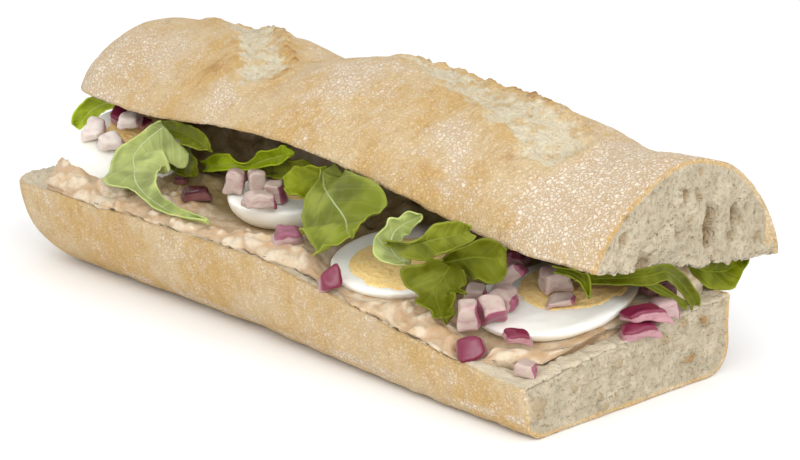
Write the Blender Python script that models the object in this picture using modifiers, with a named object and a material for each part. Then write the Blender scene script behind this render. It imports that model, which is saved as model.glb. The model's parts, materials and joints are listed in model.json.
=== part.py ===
"""Submarine sandwich: a split baguette filled with tuna spread, egg slices, rocket and red onion.

The length runs along X with the cut end at +X, the open side faces -Y, and the flat underside of the
bottom half lies on z = 0, with the origin at its middle.  Sizes are in millimetres and degrees; solid()
turns them into metres.
"""

import math
from dataclasses import dataclass

import bmesh
import bpy
from mathutils import Euler, Matrix, Vector, noise

# Driving sizes of the whole sandwich
LENGTH = 235.0
CUT_X = LENGTH / 2
ROUND_X = -LENGTH / 2
GAP = 0.35

# Bottom half of the baguette
BASE_FRONT = -42.0
BASE_BACK = 40.5
BASE_HEIGHT = 26.6
BASE_FRONT_DROP = 12.0
BASE_BACK_DROP = 4.0
BASE_LEAN = 3.0
BASE_END_LENGTH = 26.0
SLOPE_START = 3.5
SLOPE_LENGTH = 115.0
CRUMB_HOLLOW = 5.5

# Top half of the baguette
LID_FRONT = -16.0
LID_WIDTH = 78.6
LID_TILT = 7.1
LID_EDGE_HEIGHT = 52.1
LID_EDGE_DROP = 12.8
LID_START = ROUND_X - 3.0
LID_DOME = 25.4
LID_END_LENGTH = 24.0

# Tuna spread on the crumb
SPREAD_FRONT = -37.0
SPREAD_BACK = 36.0
SPREAD_DEPTH = 4.6
SPREAD_START = -104.0
SPREAD_END = 111.5


def smoothstep(value):
    """0 below 0, 1 above 1, and an S curve between."""
    value = min(max(value, 0.0), 1.0)
    return value * value * (3 - 2 * value)


def hump(distance, width):
    """A rounded hump that is 1 at no distance."""
    return math.exp(-((distance / width) ** 2))


def signed_power(value, power):
    return math.copysign(abs(value) ** power, value)


def rough(x, y, z, scale):
    """Smooth unevenness from -1 to 1, whose bumps are about scale apart."""
    return noise.noise(Vector((x, y, z)) / scale)


def placing(place, turn):
    """The matrix of a piece turned about Z, then leaned about Y and X, then moved to its place."""
    lean_x, lean_y, yaw = (math.radians(angle) for angle in turn)
    return Matrix.Translation(place) @ Euler((lean_x, lean_y, yaw), "ZYX").to_matrix().to_4x4()


def collection(name):
    made = bpy.data.collections.new(name)
    bpy.context.scene.collection.children.link(made)
    return made


def material(name, colour, roughness):
    made = bpy.data.materials.new(name)
    made.use_nodes = True
    shader = made.node_tree.nodes["Principled BSDF"]
    shader.inputs["Base Color"].default_value = (*colour, 1.0)
    shader.inputs["Roughness"].default_value = roughness
    shader.inputs["Metallic"].default_value = 0.0
    return made


def solid(name, points, faces, finish, group):
    """A closed mesh object from points in millimetres."""
    mesh = bpy.data.meshes.new(name)
    mesh.from_pydata([tuple(c / 1000 for c in p) for p in points], [], faces)
    mesh.materials.append(finish)
    shape = bmesh.new()
    shape.from_mesh(mesh)
    bmesh.ops.recalc_face_normals(shape, faces=shape.faces)
    bmesh.ops.triangulate(shape, faces=shape.faces)
    shape.to_mesh(mesh)
    shape.free()
    made = bpy.data.objects.new(name, mesh)
    group.objects.link(made)
    return made


def loft(rings):
    """Points and faces of a closed body whose skin runs from ring to ring, with a fan over each end."""
    count = len(rings[0])
    points = [p for ring in rings for p in ring]
    faces = []
    for i in range(len(rings) - 1):
        for j in range(count):
            k = (j + 1) % count
            faces.append((i * count + j, i * count + k, (i + 1) * count + k, (i + 1) * count + j))
    for first in (0, (len(rings) - 1) * count):
        ring = points[first:first + count]
        points.append(tuple(sum(p[axis] for p in ring) / count for axis in range(3)))
        centre = len(points) - 1
        faces += [(first + j, first + (j + 1) % count, centre) for j in range(count)]
    return points, faces


def stations(start, count, end_length, end_count):
    """Places along X: close together round the natural end, then even up to the cut end."""
    ends = [start + end_length * (1 - math.cos(math.pi / 2 * i / end_count)) for i in range(1, end_count)]
    body = start + end_length
    return ends + [body + (CUT_X - body) * i / (count - 1) for i in range(count)]


# The two halves of the bread


def end_share(x, start, length, power):
    """How much of its full section a body has at x, near the natural end where it starts."""
    t = min(max((x - start) / length, 0.0), 1.0)
    return (1 - (1 - t) ** power) ** (1 / power)


def rim_height(x, y):
    """Height of the bottom half's cut edge, which falls towards the cut end, most of all in front."""
    fall = smoothstep((x - SLOPE_START) / SLOPE_LENGTH)
    back = min(max((y - BASE_FRONT) / (BASE_BACK - BASE_FRONT), 0.0), 1.0)
    drop = BASE_FRONT_DROP + (BASE_BACK_DROP - BASE_FRONT_DROP) * back
    return BASE_HEIGHT - drop * fall + 0.8 * rough(x, y, 3.0, 14.0)


def crumb_height(x, y):
    """Height of the bottom half's cut surface: the filling presses the crumb down inside the rim."""
    inside = smoothstep((y - BASE_FRONT - 4.0) / 8.0) * smoothstep((BASE_BACK - 7.0 - y) / 10.0)
    along = smoothstep((x - ROUND_X - 12.0) / 14.0) * smoothstep((114.0 - x) / 24.0)
    return rim_height(x, y) - CRUMB_HOLLOW * inside * along


def base_ring(x, below=18, above=9):
    """The bottom half's section at x: from the front rim round the underside to the back rim, and over."""
    share = end_share(x, ROUND_X, BASE_END_LENGTH, 2.2)
    wide = 0.62 + 0.38 * end_share(x, ROUND_X, 16.0, 2.2)
    squareness = 4.0 + 3.5 * smoothstep((x + 20.0) / 120.0)
    middle, half = (BASE_FRONT + BASE_BACK) / 2, (BASE_BACK - BASE_FRONT) / 2
    ring = []
    for i in range(below + 1):
        angle = math.pi + math.pi * i / below
        across = signed_power(math.cos(angle), 2 / squareness)
        y = middle + half * across
        rim = crumb_height(x, y)
        depth = abs(math.sin(angle)) ** (2 / squareness)
        z = rim - (rim + 0.8) * depth
        if across < 0:
            y += BASE_LEAN * depth * -across
        bulge = 0.7 * rough(x, y, z, 17.0) * (1 - 0.5 * depth)
        y += bulge * across
        y = middle + (y - middle) * wide
        z = rim - (rim - z) * share
        ring.append((x, y, max(z, 0.0)))
    front, back = ring[0][1], ring[-1][1]
    for i in range(1, above):
        y = back + (front - back) * i / above
        ring.append((x, y, crumb_height(x, y)))
    return ring


def bread_base(finish, group):
    rings = [base_ring(x) for x in stations(ROUND_X, 24, BASE_END_LENGTH, 5)]
    return solid("bread_base", *loft(rings), finish, group)


def lid_edge(x):
    """Height of the top half's lower front edge."""
    fall = smoothstep((x - 8.5) / 90.0)
    sway = 1.4 * math.sin((x + 46.5) * math.tau / 110.0) * (1 - fall)
    return LID_EDGE_HEIGHT - LID_EDGE_DROP * fall + sway


def lid_dome(x):
    """Height of the top half's dome above its cut plane: two humps with a waist between them."""
    humps = 3.0 * hump(x + 74.0, 24.0) + 4.0 * hump(x - 68.0, 23.0)
    return LID_DOME + humps - 4.8 * hump(x + 29.0, 15.0) + 2.7 * smoothstep((x - 85.0) / 30.0)


@dataclass(frozen=True)
class Score:
    """A slash in the crust that opened in the oven: it runs from start to end, each (x, share of width)."""

    start: tuple
    end: tuple
    width: float = 7.0
    depth: float = 1.7

    def relief(self, x, across):
        """Height that the slash adds at a place on the dome: a valley between two raised lips."""
        a = Vector((self.start[0], self.start[1] * LID_WIDTH))
        b = Vector((self.end[0], self.end[1] * LID_WIDTH))
        p = Vector((x, across * LID_WIDTH))
        t = min(max((p - a).dot(b - a) / (b - a).length_squared, 0.0), 1.0)
        away = (p - (a + (b - a) * t)).length / self.width
        return self.depth * (0.9 * math.exp(-((away - 1.15) / 0.4) ** 2) - math.exp(-(away / 0.75) ** 2))


SCORES = (
    Score((-88.0, 0.62), (-34.0, 0.36)),
    Score((20.0, 0.62), (80.0, 0.36)),
)


def lid_ring(x, over=20, under=8):
    """The top half's section at x: over the dome from its front rim to its back rim, and back below."""
    share = 0.42 + 0.58 * end_share(x, LID_START, LID_END_LENGTH, 3.0)
    tilt = math.radians(LID_TILT)
    ring = []
    for i in range(over + under):
        if i <= over:
            across = 0.5 - 0.5 * math.cos(math.pi * i / over)
            bow = (1 - (2 * across - 1) ** 2) ** 0.75
            rise = lid_dome(x) * bow
            rise += sum(score.relief(x, across) for score in SCORES) * bow
            rise += 0.8 * rough(x, across * 70.0, 9.0, 15.0) * bow
        else:
            across = 1 - (i - over) / under
            rise = 0.9 * rough(x, across * 70.0, 21.0, 9.0) * min(across, 1 - across) * 4
        along = LID_WIDTH * (0.5 + (across - 0.5) * share)
        rise = 8.0 + (rise - 8.0) * share
        ring.append((
            x,
            LID_FRONT + along * math.cos(tilt) + rise * math.sin(tilt),
            lid_edge(x) - along * math.sin(tilt) + rise * math.cos(tilt),
        ))
    return ring


def bread_lid(finish, group):
    rings = [lid_ring(x) for x in stations(LID_START, 32, LID_END_LENGTH, 5)]
    return solid("bread_lid", *loft(rings), finish, group)


# The filling


def spread_front(x):
    """Where the spread ends in front: it bulges here and there, and draws back at both ends."""
    wander = 1.6 * rough(x, 0.0, 40.0, 26.0)
    near = 14.0 * smoothstep((x - 92.0) / 22.0)
    far = 16.0 * smoothstep((-x - 92.0) / 16.0)
    return SPREAD_FRONT + wander + near + far


def spread_depth(x):
    """Thickness of the spread, piled up near the natural end."""
    return SPREAD_DEPTH + 6.5 * hump(x + 97.0, 19.0) + 1.0 * rough(x, 0.0, 55.0, 30.0)


def lid_underside(x, y):
    """Height of the top half's cut surface."""
    return lid_edge(x) - (y - LID_FRONT) * math.tan(math.radians(LID_TILT))


def spread_ring(x, above=13, below=4):
    """The spread's section at x: over its lumpy top from front to back, and back inside the crumb."""
    front, back = spread_front(x), SPREAD_BACK
    share = end_share(x, SPREAD_START, 14.0, 2.0) * smoothstep((SPREAD_END + 5.0 - x) / 12.0)
    share = 0.25 + 0.75 * share
    ring = []
    for i in range(above + 1):
        y = front + (back - front) * (0.5 - 0.5 * math.cos(math.pi * i / above))
        rise = (1 - (2 * (y - front) / (back - front) - 1) ** 6) ** 0.5
        depth = spread_depth(x) * share * rise
        depth += share * (9.0 * hump(y - 24.0, 11.0) + 1.6 * hump(y - front - 6.0, 5.0))
        dip = smoothstep((y - front - 8.0) / 6.0) * smoothstep((8.0 - y) / 12.0)
        depth -= 2.6 * hump(x + 14.0, 26.0) * dip
        lumps = 2.1 * rough(x, y, 60.0, 7.5) + 1.1 * rough(x, y, 70.0, 4.0)
        ring.append((x, y, rim_height(x, y) + max(depth + lumps * rise * share, 0.8)))
    for i in range(below + 1):
        ring.append((x, back + (front - back) * i / below, rim_height(x, 0.0) - 7.0))
    return ring


def spread_body(finish, group):
    count = 38
    rings = [
        spread_ring(SPREAD_START + (SPREAD_END - SPREAD_START) * i / (count - 1)) for i in range(count)
    ]
    return solid("spread", *loft(rings), finish, group)


@dataclass(frozen=True)
class Egg:
    """A thick slice of boiled egg with its cut face up: place is the middle of that face."""

    place: tuple
    turn: tuple
    length: float = 50.0
    width: float = 40.0
    depth: float = 12.0
    yolk: float = 27.0
    yolk_offset: float = 2.5

    def outline(self, angle, share):
        """A place on the egg's outline, blunt at one end."""
        along = math.cos(angle) * self.length / 2 * share
        across = math.sin(angle) * self.width / 2 * share * (1 - 0.1 * math.cos(angle))
        return along, across

    def pocket(self):
        """Depth of the white's hollow that holds the yolk."""
        return self.depth - 3.2

    def placed(self, points):
        matrix = placing(self.place, self.turn)
        return [tuple(matrix @ Vector(p)) for p in points]

    def white(self, name, finish, group, count=22, grow=0.0):
        """The white: a shallow rounded cup; grow makes the solid body that cuts its place in the spread."""
        sides = ((0.55, 1.0), (0.84, 0.8), (0.97, 0.45), (1.0, 0.12), (0.985, 0.0))
        rings = []
        for share, down in sides:
            ring = []
            for j in range(count):
                x, y = self.outline(math.tau * j / count, share + grow / 20.0)
                raised = 8.0 if grow and down == 0 else 0.0
                ring.append((x, y, raised - (self.depth + grow) * down))
            rings.append(ring)
        if not grow:
            for radius, down in ((1.0, 0.0), (0.98, 0.6 * self.pocket()), (0.72, self.pocket())):
                rings.append([
                    (
                        self.yolk_offset + self.yolk / 2 * radius * math.cos(math.tau * j / count),
                        self.yolk / 2 * radius * 0.96 * math.sin(math.tau * j / count),
                        -down,
                    )
                    for j in range(count)
                ])
        points, faces = loft([self.placed(ring) for ring in rings])
        return solid(name, points, faces, finish, group)

    def yolk_body(self, name, finish, group, count=16):
        """The yolk: a crumbly disc that fills the cup."""
        rings = []
        edge = self.yolk / 2 - GAP
        floor = self.pocket()
        sides = ((0.66, GAP - floor), (0.96, -0.6 * floor), (1.0, -0.4), (0.86, 0.7), (0.45, 1.0))
        for radius, height in sides:
            crumble = 0.35 if height > 0 else 0.0
            rings.append([
                (
                    self.yolk_offset + edge * radius * math.cos(math.tau * j / count),
                    edge * radius * 0.96 * math.sin(math.tau * j / count),
                    height + crumble * rough(j * 5.0, radius * 20.0, self.place[0], 7.0),
                )
                for j in range(count)
            ])
        points, faces = loft([self.placed(ring) for ring in rings])
        return solid(name, points, faces, finish, group)


EGGS = (
    Egg((-90.0, -9.5, 37.6), (18.0, 18.0, 118.0), 45.0, 40.0, depth=8.5, yolk_offset=4.0),
    Egg((-16.0, -2.0, 34.5), (3.0, 3.0, 100.0), 44.0, 36.0, depth=8.0, yolk=26.0),
    Egg((47.0, -14.0, 29.0), (8.0, 7.0, 96.0), 46.0, 38.0, depth=6.6, yolk=28.0, yolk_offset=-2.5),
    Egg((92.0, -1.0, 25.8), (11.0, 2.0, 84.0), 50.0, 40.0, depth=6.4),
)


def curve_point(points, t):
    """A place on a smooth curve through the points, at share t of its way."""
    spot = t * (len(points) - 1)
    i = min(int(spot), len(points) - 2)
    f = spot - i
    before, a = Vector(points[max(i - 1, 0)]), Vector(points[i])
    b, after = Vector(points[i + 1]), Vector(points[min(i + 2, len(points) - 1)])
    squared = (2 * before - 5 * a + 4 * b - after) * f ** 2
    cubed = (3 * a - before - 3 * b + after) * f ** 3
    return 0.5 * (2 * a + (b - before) * f + squared + cubed)


def curve_value(values, t):
    """A value on straight lines through evenly spaced values, at share t of the way."""
    spot = t * (len(values) - 1)
    i = min(int(spot), len(values) - 2)
    return values[i] + (values[i + 1] - values[i]) * (spot - i)


@dataclass(frozen=True)
class Leaf:
    """A rocket leaf: a thin wavy sheet along its rib, with half widths to both sides and curled edges."""

    rib: tuple
    left: tuple
    right: tuple
    face: tuple
    end_face: tuple
    curl: float = 1.5
    wave: float = 0.7
    along: int = 10
    across: int = 6
    thickness: float = 0.7

    def body(self, name, finish, group):
        rows = []
        for i in range(self.along + 1):
            t = i / self.along
            centre = curve_point(self.rib, t)
            tangent = curve_point(self.rib, min(t + 0.02, 1)) - curve_point(self.rib, max(t - 0.02, 0))
            tangent.normalize()
            normal = Vector(self.face).normalized().lerp(Vector(self.end_face).normalized(), t)
            side = normal.cross(tangent).normalized()
            normal = tangent.cross(side).normalized()
            row = []
            for j in range(self.across + 1):
                u = 2 * j / self.across - 1
                width = curve_value(self.left if u > 0 else self.right, t)
                lift = self.curl * u * u + self.wave * u * u * math.sin(17.0 * t + 2.5 * u)
                row.append((centre + side * width * u + normal * lift, normal))
            rows.append(row)
        half = self.thickness / 2
        points = [p + n * half for row in rows for p, n in row]
        points += [p - n * half for row in rows for p, n in row]
        wide, layer = self.across + 1, (self.across + 1) * (self.along + 1)
        faces = []
        for i in range(self.along):
            for j in range(self.across):
                a, b, c, d = (i * wide + j, i * wide + j + 1, (i + 1) * wide + j + 1, (i + 1) * wide + j)
                for corners in ((a, b, c), (a, c, d)):
                    faces.append(corners)
                    faces.append(tuple(layer + k for k in reversed(corners)))
        rim = [j for j in range(wide)] + [i * wide + self.across for i in range(1, self.along + 1)]
        rim += [self.along * wide + j for j in range(self.across - 1, -1, -1)]
        rim += [i * wide for i in range(self.along - 1, 0, -1)]
        for a, b in zip(rim, rim[1:] + rim[:1]):
            faces.append((b, a, layer + a, layer + b))
        return solid(name, points, faces, finish, group)


@dataclass(frozen=True)
class Die:
    """A piece of chopped onion: a block with worn edges, narrower on top like the layer it is cut from."""

    place: tuple
    size: tuple
    turn: tuple
    taper: float = 0.82

    def body(self, name, finish, group, grow=0.0):
        bpy.ops.mesh.primitive_cube_add(size=1)
        block = bpy.context.object
        block.name = block.data.name = name
        block.data.materials.append(finish)
        for vertex in block.data.vertices:
            narrow = self.taper if vertex.co.z > 0 else 1.0
            vertex.co.x *= (self.size[0] + 2 * grow) / 1000 * narrow
            vertex.co.y *= (self.size[1] + 2 * grow) / 1000 * (2 - narrow) ** 0.5
            vertex.co.z *= (self.size[2] + 2 * grow) / 1000
        wear = block.modifiers.new("wear", "BEVEL")
        wear.width = 0.0006
        wear.segments = 1
        bpy.ops.object.modifier_apply(modifier="wear")
        place = placing(Vector(self.place) / 1000, self.turn)
        block.data.transform(place)
        for owner in block.users_collection:
            owner.objects.unlink(block)
        group.objects.link(block)
        return block


TOWARDS = (0.7, -0.66, 0.27)
UPWARDS = (0.45, -0.45, 0.8)

LEAVES = (
    # Small leaf past the round end
    Leaf(
        ((-107, -1, 47), (-115, -2, 46), (-119.5, -6, 42.5), (-120.5, -10, 37.5)),
        (1.3, 2.7, 3.4, 1.4), (2, 3.4, 3.4, 1.7),
        TOWARDS, TOWARDS, along=6, across=4,
    ),
    # Large leaf that hangs over the front
    Leaf(
        ((-64.7, -14.7, 48), (-65.7, -21.7, 44), (-64.7, -26.7, 40), (-58.7, -30.7, 37),
         (-52.7, -34.7, 35.3), (-42.5, -37.4, 32.8), (-31, -38.4, 31.3), (-20.5, -34.5, 31.2)),
        (7, 13.8, 6.9, 9.3, 6.1, 3.9, 2, 0.3), (2.5, 6.3, 8.5, 9.3, 9, 3, 1.5, 0.3),
        TOWARDS, UPWARDS, along=15,
    ),
    # Upper leaf behind the large one
    Leaf(
        ((-73, -10, 46), (-64, -10, 46), (-53, -11, 45), (-44, -12, 43)),
        (1.6, 2.5, 2.8, 0.3), (1.9, 3.2, 2.5, 0.3),
        TOWARDS, TOWARDS, along=6, across=4,
    ),
    # Low leaf behind the large one
    Leaf(
        ((-70, -9, 35.6), (-62, -10, 34.6), (-53, -11, 33.6)),
        (2.9, 4.5, 1.9), (1.9, 2.5, 1.3),
        TOWARDS, TOWARDS, along=5, across=4,
    ),
    # Long narrow leaf under the lid
    Leaf(
        ((-57, -5, 34.5), (-45, -6, 37.5), (-33, -7, 39.5), (-23, -8, 43.2), (-13, -9, 46.6),
         (-7, -10, 48.6)),
        (1.3, 3.4, 0.9, 2.4, 2.7, 0.6), (1.3, 1.9, 1.5, 1.8, 2.1, 0.6),
        TOWARDS, TOWARDS, along=10, across=4,
    ),
    # Dark leaf below the narrow one
    Leaf(
        ((-44.4, -2.7, 35.9), (-28.4, -4.7, 37.9), (-13.3, -6.7, 40.9), (-0.3, -8.7, 45.9)),
        (0.9, 3.1, 4.2, 1.2), (0.6, 0.9, 1.8, 0.9),
        TOWARDS, TOWARDS, along=6, across=4,
    ),
    # Folded leaf between the second egg and the lid
    Leaf(
        ((12, -12, 46), (7, -14, 44), (4, -17, 42), (1, -20, 41)),
        (2.9, 5.8, 4.1, 0.9), (2.3, 4.1, 4.7, 1.8),
        TOWARDS, UPWARDS, along=7,
    ),
    # Large leaf between the second and third egg
    Leaf(
        ((11.3, -14.3, 47.1), (16.4, -18.3, 44.1), (26.4, -23.3, 42.1), (35.4, -27.3, 40.1),
         (41.4, -31.3, 38.1), (45.4, -33.3, 37.1)),
        (1.5, 6, 11.3, 12.5, 7.7, 4.4), (0.6, 1.7, 7.9, 11.7, 9.9, 9),
        TOWARDS, TOWARDS, along=12, across=8,
    ),
    # Light flap beside the third egg
    Leaf(
        ((60.5, -27.5, 25.9), (58, -27, 32), (53, -26, 34), (52, -24, 38), (54, -22, 41),
         (59, -20, 44)),
        (0.8, 1.6, 3.8, 4.6, 2.7, 0.8), (1.4, 2.7, 3.8, 3.3, 2.7, 1.6),
        TOWARDS, TOWARDS, along=8,
    ),
    # Flap on the third egg
    Leaf(
        ((53.6, -27.7, 36.9), (64.8, -29.7, 38.9), (71.2, -28.2, 41.1), (75.2, -23.7, 42.3),
         (75.8, -18.7, 42.7)),
        (1.1, 3.2, 3.6, 3.2, 1.2), (1.1, 2.4, 3.2, 3.7, 2.7),
        TOWARDS, TOWARDS, along=8,
    ),
    # Leaf that leans against the lid
    Leaf(
        ((69.9, -26, 33.7), (75.9, -25, 35.7), (81.9, -23, 37.7), (86.9, -20, 37.7),
         (88.9, -18, 37.7)),
        (0.5, 2.1, 4.2, 4.7, 2.6), (0.8, 3.7, 7.1, 6.8, 2.6),
        TOWARDS, TOWARDS, along=8,
    ),
    # Leaf that hangs over the front, past the third egg
    Leaf(
        ((77, -27, 35), (77, -31, 31), (78, -33, 28), (82, -35, 25), (85, -36, 23)),
        (3.7, 6.8, 6.8, 3.6, 0.3), (7.9, 9.5, 5.8, 3.1, 0.3),
        TOWARDS, TOWARDS, along=8,
    ),
    # Sprig under the lid at the cut end
    Leaf(
        ((103.3, -14.3, 37.1), (109.3, -14.8, 37.5), (113.3, -15.8, 37.1), (115.3, -16.3, 36.1),
         (117.3, -17.3, 33.1)),
        (0.8, 1, 1, 0.8, 0.2), (0.8, 1, 1, 0.8, 0.2),
        TOWARDS, TOWARDS, along=7, across=2,
    ),
    # Thick stem at the cut end
    Leaf(
        ((106.3, -4.3, 33.5), (113.3, 0.7, 34.1), (119.1, 3.7, 35.3), (120.3, 9.7, 35.4),
         (119.3, 17.7, 30.1), (118.8, 22.2, 25.6), (118.3, 23.7, 23.6)),
        (1.3, 1.5, 1.7, 1.7, 1.7, 1.6, 0.8), (1.3, 1.5, 1.7, 1.7, 1.7, 1.6, 0.8),
        TOWARDS, TOWARDS, along=12, across=2,
    ),
    # Thin stem at the cut end
    Leaf(
        ((107.7, -1.7, 34.4), (111.7, 2.3, 34.9), (115.2, 8.3, 31.9), (116.7, 15.3, 28.4),
         (117.7, 21.3, 24.9)),
        (0.8, 0.8, 0.8, 0.8, 0.5), (0.8, 0.8, 0.8, 0.8, 0.5),
        TOWARDS, TOWARDS, curl=0.3, wave=0.2, along=8, across=2,
    ),
    # Leaf at the back of the cut end
    Leaf(
        ((108, 34, 29.5), (110, 40.5, 26.8), (111, 47, 25.5), (112, 54, 27.5)),
        (3, 4.5, 4, 0.3), (1.2, 3, 2.6, 0.3),
        TOWARDS, TOWARDS, along=8, across=4,
    ),
)

ONIONS = (
    Die((-99.8, -17.5, 42), (7.5, 8.5, 5), (18, 18, 40)),
    Die((-90.7, -17.2, 39.2), (8, 6, 4.5), (18, 18, 60)),
    Die((-98.8, -8.2, 45.2), (5.5, 6, 4.5), (18, 18, 20)),
    Die((-90.4, -9.9, 45.4), (8, 5.5, 4.5), (18, 18, 55)),
    Die((-91.0, -3.7, 43.1), (4.5, 4, 3), (18, 18, 10)),
    Die((-42.0, -19.9, 31.5), (9, 5, 4), (0, 0, 60)),
    Die((-58.5, -13.5, 31.5), (4, 3, 2.5), (0, 0, 40)),
    Die((-24.2, -18.7, 38.3), (6, 5, 7), (3, 3, 30)),
    Die((-19.2, -14.1, 38.4), (5.5, 5, 7), (3, 3, 75)),
    Die((-9.6, -15.1, 36.9), (5.5, 5, 6.3), (3, 3, 40)),
    Die((-6.6, -23.7, 35.7), (9, 6, 4.3), (3, 3, 60)),
    Die((16.7, -32.4, 32.0), (8.5, 6, 5), (10, 5, 40)),
    Die((44.4, -40.5, 26.9), (6.5, 5.5, 5), (20, 10, 25)),
    Die((69.4, 6.4, 29.6), (6, 6, 5), (10, 0, 30)),
    Die((80.8, -9, 29.5), (10, 4.5, 4.5), (25, -25, 47)),
    Die((77.4, -17.6, 25.7), (6, 5, 4.5), (10, 5, 30)),
    Die((89.6, -32.4, 25.4), (5.5, 5, 8), (5, 5, 50)),
    Die((90.2, -24.4, 25.6), (7.5, 6, 6), (12, 4, 48)),
    Die((86.5, -17.2, 26.3), (9, 6.5, 5.5), (12, 4, 20)),
    Die((92.8, -3, 30.1), (8, 6.5, 6.5), (10, 0, 55)),
    Die((98.6, -7.1, 26.5), (8, 5, 1.8), (11, 2, 52)),
    Die((102.9, -27.7, 22.0), (7, 4, 3), (0, 10, 50)),
    Die((94.6, -36.5, 18.3), (8, 6, 6.5), (25, 15, 30)),
    Die((111.6, -33.9, 16.9), (5.5, 5, 4), (0, 0, 20)),
    Die((118.2, 4.1, 25.1), (12, 4.5, 3.5), (5, 0, 55)),
    Die((118.0, 2.4, 20.6), (11, 4, 4), (10, 10, 60)),
    Die((117.1, 13.4, 24.0), (8, 5.5, 4.8), (0, 0, 60)),
    Die((101.9, 10.1, 30), (4.5, 4, 3.5), (0, 0, 20)),
    Die((111.3, 17.2, 28.2), (8, 5, 3.5), (0, 0, 60)),
)


def cut_away(body, cutter):
    """Take the cutter's volume out of the body and remove the cutter."""
    step = body.modifiers.new("cut", "BOOLEAN")
    step.operation = "DIFFERENCE"
    step.solver = "MANIFOLD"
    step.object = cutter
    bpy.context.view_layer.objects.active = body
    bpy.ops.object.modifier_apply(modifier="cut")
    bpy.data.objects.remove(cutter)


def shifted_copy(body, height, group):
    """A copy of a body moved up or down by a height in millimetres."""
    copy = body.copy()
    copy.data = body.data.copy()
    copy.data.transform(Matrix.Translation((0, 0, height / 1000)))
    group.objects.link(copy)
    return copy


def main():
    for old in list(bpy.data.objects):
        bpy.data.objects.remove(old)
    sandwich = collection("submarine_sandwich")
    crust = material("crust", (0.72, 0.50, 0.27), 0.8)
    tuna = material("tuna_spread", (0.76, 0.56, 0.37), 0.5)
    white = material("egg_white", (0.86, 0.84, 0.77), 0.35)
    yolk = material("egg_yolk", (0.85, 0.60, 0.25), 0.8)
    onion = material("red_onion", (0.62, 0.40, 0.42), 0.3)
    rocket = material("rocket", (0.20, 0.34, 0.06), 0.5)
    base = bread_base(crust, sandwich)
    lid = bread_lid(crust, sandwich)
    spread = spread_body(tuna, sandwich)
    cut_away(spread, shifted_copy(base, GAP, sandwich))
    cut_away(spread, shifted_copy(lid, -GAP, sandwich))
    for i, egg in enumerate(EGGS, 1):
        egg.white(f"egg_white_{i}", white, sandwich)
        egg.yolk_body(f"egg_yolk_{i}", yolk, sandwich)
        cut_away(spread, egg.white(f"egg_place_{i}", tuna, sandwich, grow=0.35))
    for i, die in enumerate(ONIONS, 1):
        die.body(f"onion_{i}", onion, sandwich)
        for soft in (spread, base):
            cut_away(soft, die.body(f"onion_place_{i}", tuna, sandwich, grow=GAP))
    for i, leaf in enumerate(LEAVES, 1):
        leaf.body(f"rocket_leaf_{i}", rocket, sandwich)


main()
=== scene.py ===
"""Submarine sandwich: crust, crumb, tuna spread, egg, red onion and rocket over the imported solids.

Sizes are in millimetres and degrees in the row frame: +X runs to the cut end, -Y to the open side
that shows the filling, +Z up.  Only mesh data is in metres.
"""

import json
import logging
import math
from collections.abc import Sequence
from dataclasses import dataclass
from enum import Enum

import bpy
import numpy as np
from mathutils import Euler, Matrix, Vector, noise

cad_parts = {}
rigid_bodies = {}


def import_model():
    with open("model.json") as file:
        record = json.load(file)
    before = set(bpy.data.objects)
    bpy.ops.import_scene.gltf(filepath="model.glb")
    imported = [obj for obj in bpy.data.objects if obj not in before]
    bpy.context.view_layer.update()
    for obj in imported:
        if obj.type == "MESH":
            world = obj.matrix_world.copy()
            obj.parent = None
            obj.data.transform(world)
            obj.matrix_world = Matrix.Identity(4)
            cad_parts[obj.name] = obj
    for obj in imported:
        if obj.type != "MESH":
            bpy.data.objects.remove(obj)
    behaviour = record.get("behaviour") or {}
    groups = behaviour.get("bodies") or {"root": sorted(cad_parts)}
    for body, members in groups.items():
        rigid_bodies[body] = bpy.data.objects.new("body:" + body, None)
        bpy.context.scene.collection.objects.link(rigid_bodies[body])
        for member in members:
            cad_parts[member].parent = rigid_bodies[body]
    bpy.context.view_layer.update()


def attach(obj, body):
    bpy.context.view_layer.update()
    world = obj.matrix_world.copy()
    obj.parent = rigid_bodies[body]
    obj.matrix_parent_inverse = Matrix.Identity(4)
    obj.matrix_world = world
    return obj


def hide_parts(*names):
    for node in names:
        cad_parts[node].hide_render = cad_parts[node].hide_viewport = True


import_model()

log = logging.getLogger("sandwich")
Colour = tuple[float, float, float]
Place = tuple[float, float, float]
Section = tuple[list[Place], list[Place], list[float], list[float]]

MM = 0.001
CUT_X = 117.5
ROUND_X = -117.5
WELD = 0.03 * MM
STAGE_DROP = 0.2 * MM


def smoothstep(value: float) -> float:
    """Returns 0 below 0, 1 above 1, and an S curve between."""
    value = min(max(value, 0.0), 1.0)
    return value * value * (3 - 2 * value)


def soft_steps(values: np.ndarray, low: float, high: float) -> np.ndarray:
    """Returns smoothstep for many values, from low to high."""
    shares = np.clip((values - low) / (high - low), 0.0, 1.0)
    return shares * shares * (3 - 2 * shares)


def hump(distance: float, width: float) -> float:
    """Returns a rounded hump that is 1 at no distance."""
    return math.exp(-((distance / width) ** 2))


def rough(x: float, y: float, z: float, scale: float) -> float:
    """Returns smooth unevenness from -1 to 1, whose bumps are about scale apart."""
    return noise.noise(Vector((x, y, z)) / scale)


def end_share(x: float, start: float, length: float, power: float) -> float:
    """Returns how much of its full section a body has at x, near the end where it starts."""
    t = min(max((x - start) / length, 0.0), 1.0)
    return (1 - (1 - t) ** power) ** (1 / power)


def placing(place: Place, turn: Place) -> Matrix:
    """Returns the matrix that turns a piece about Z, leans it about Y and X, and places it."""
    lean_x, lean_y, yaw = (math.radians(angle) for angle in turn)
    return Matrix.Translation(place) @ Euler((lean_x, lean_y, yaw), "ZYX").to_matrix().to_4x4()


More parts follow.
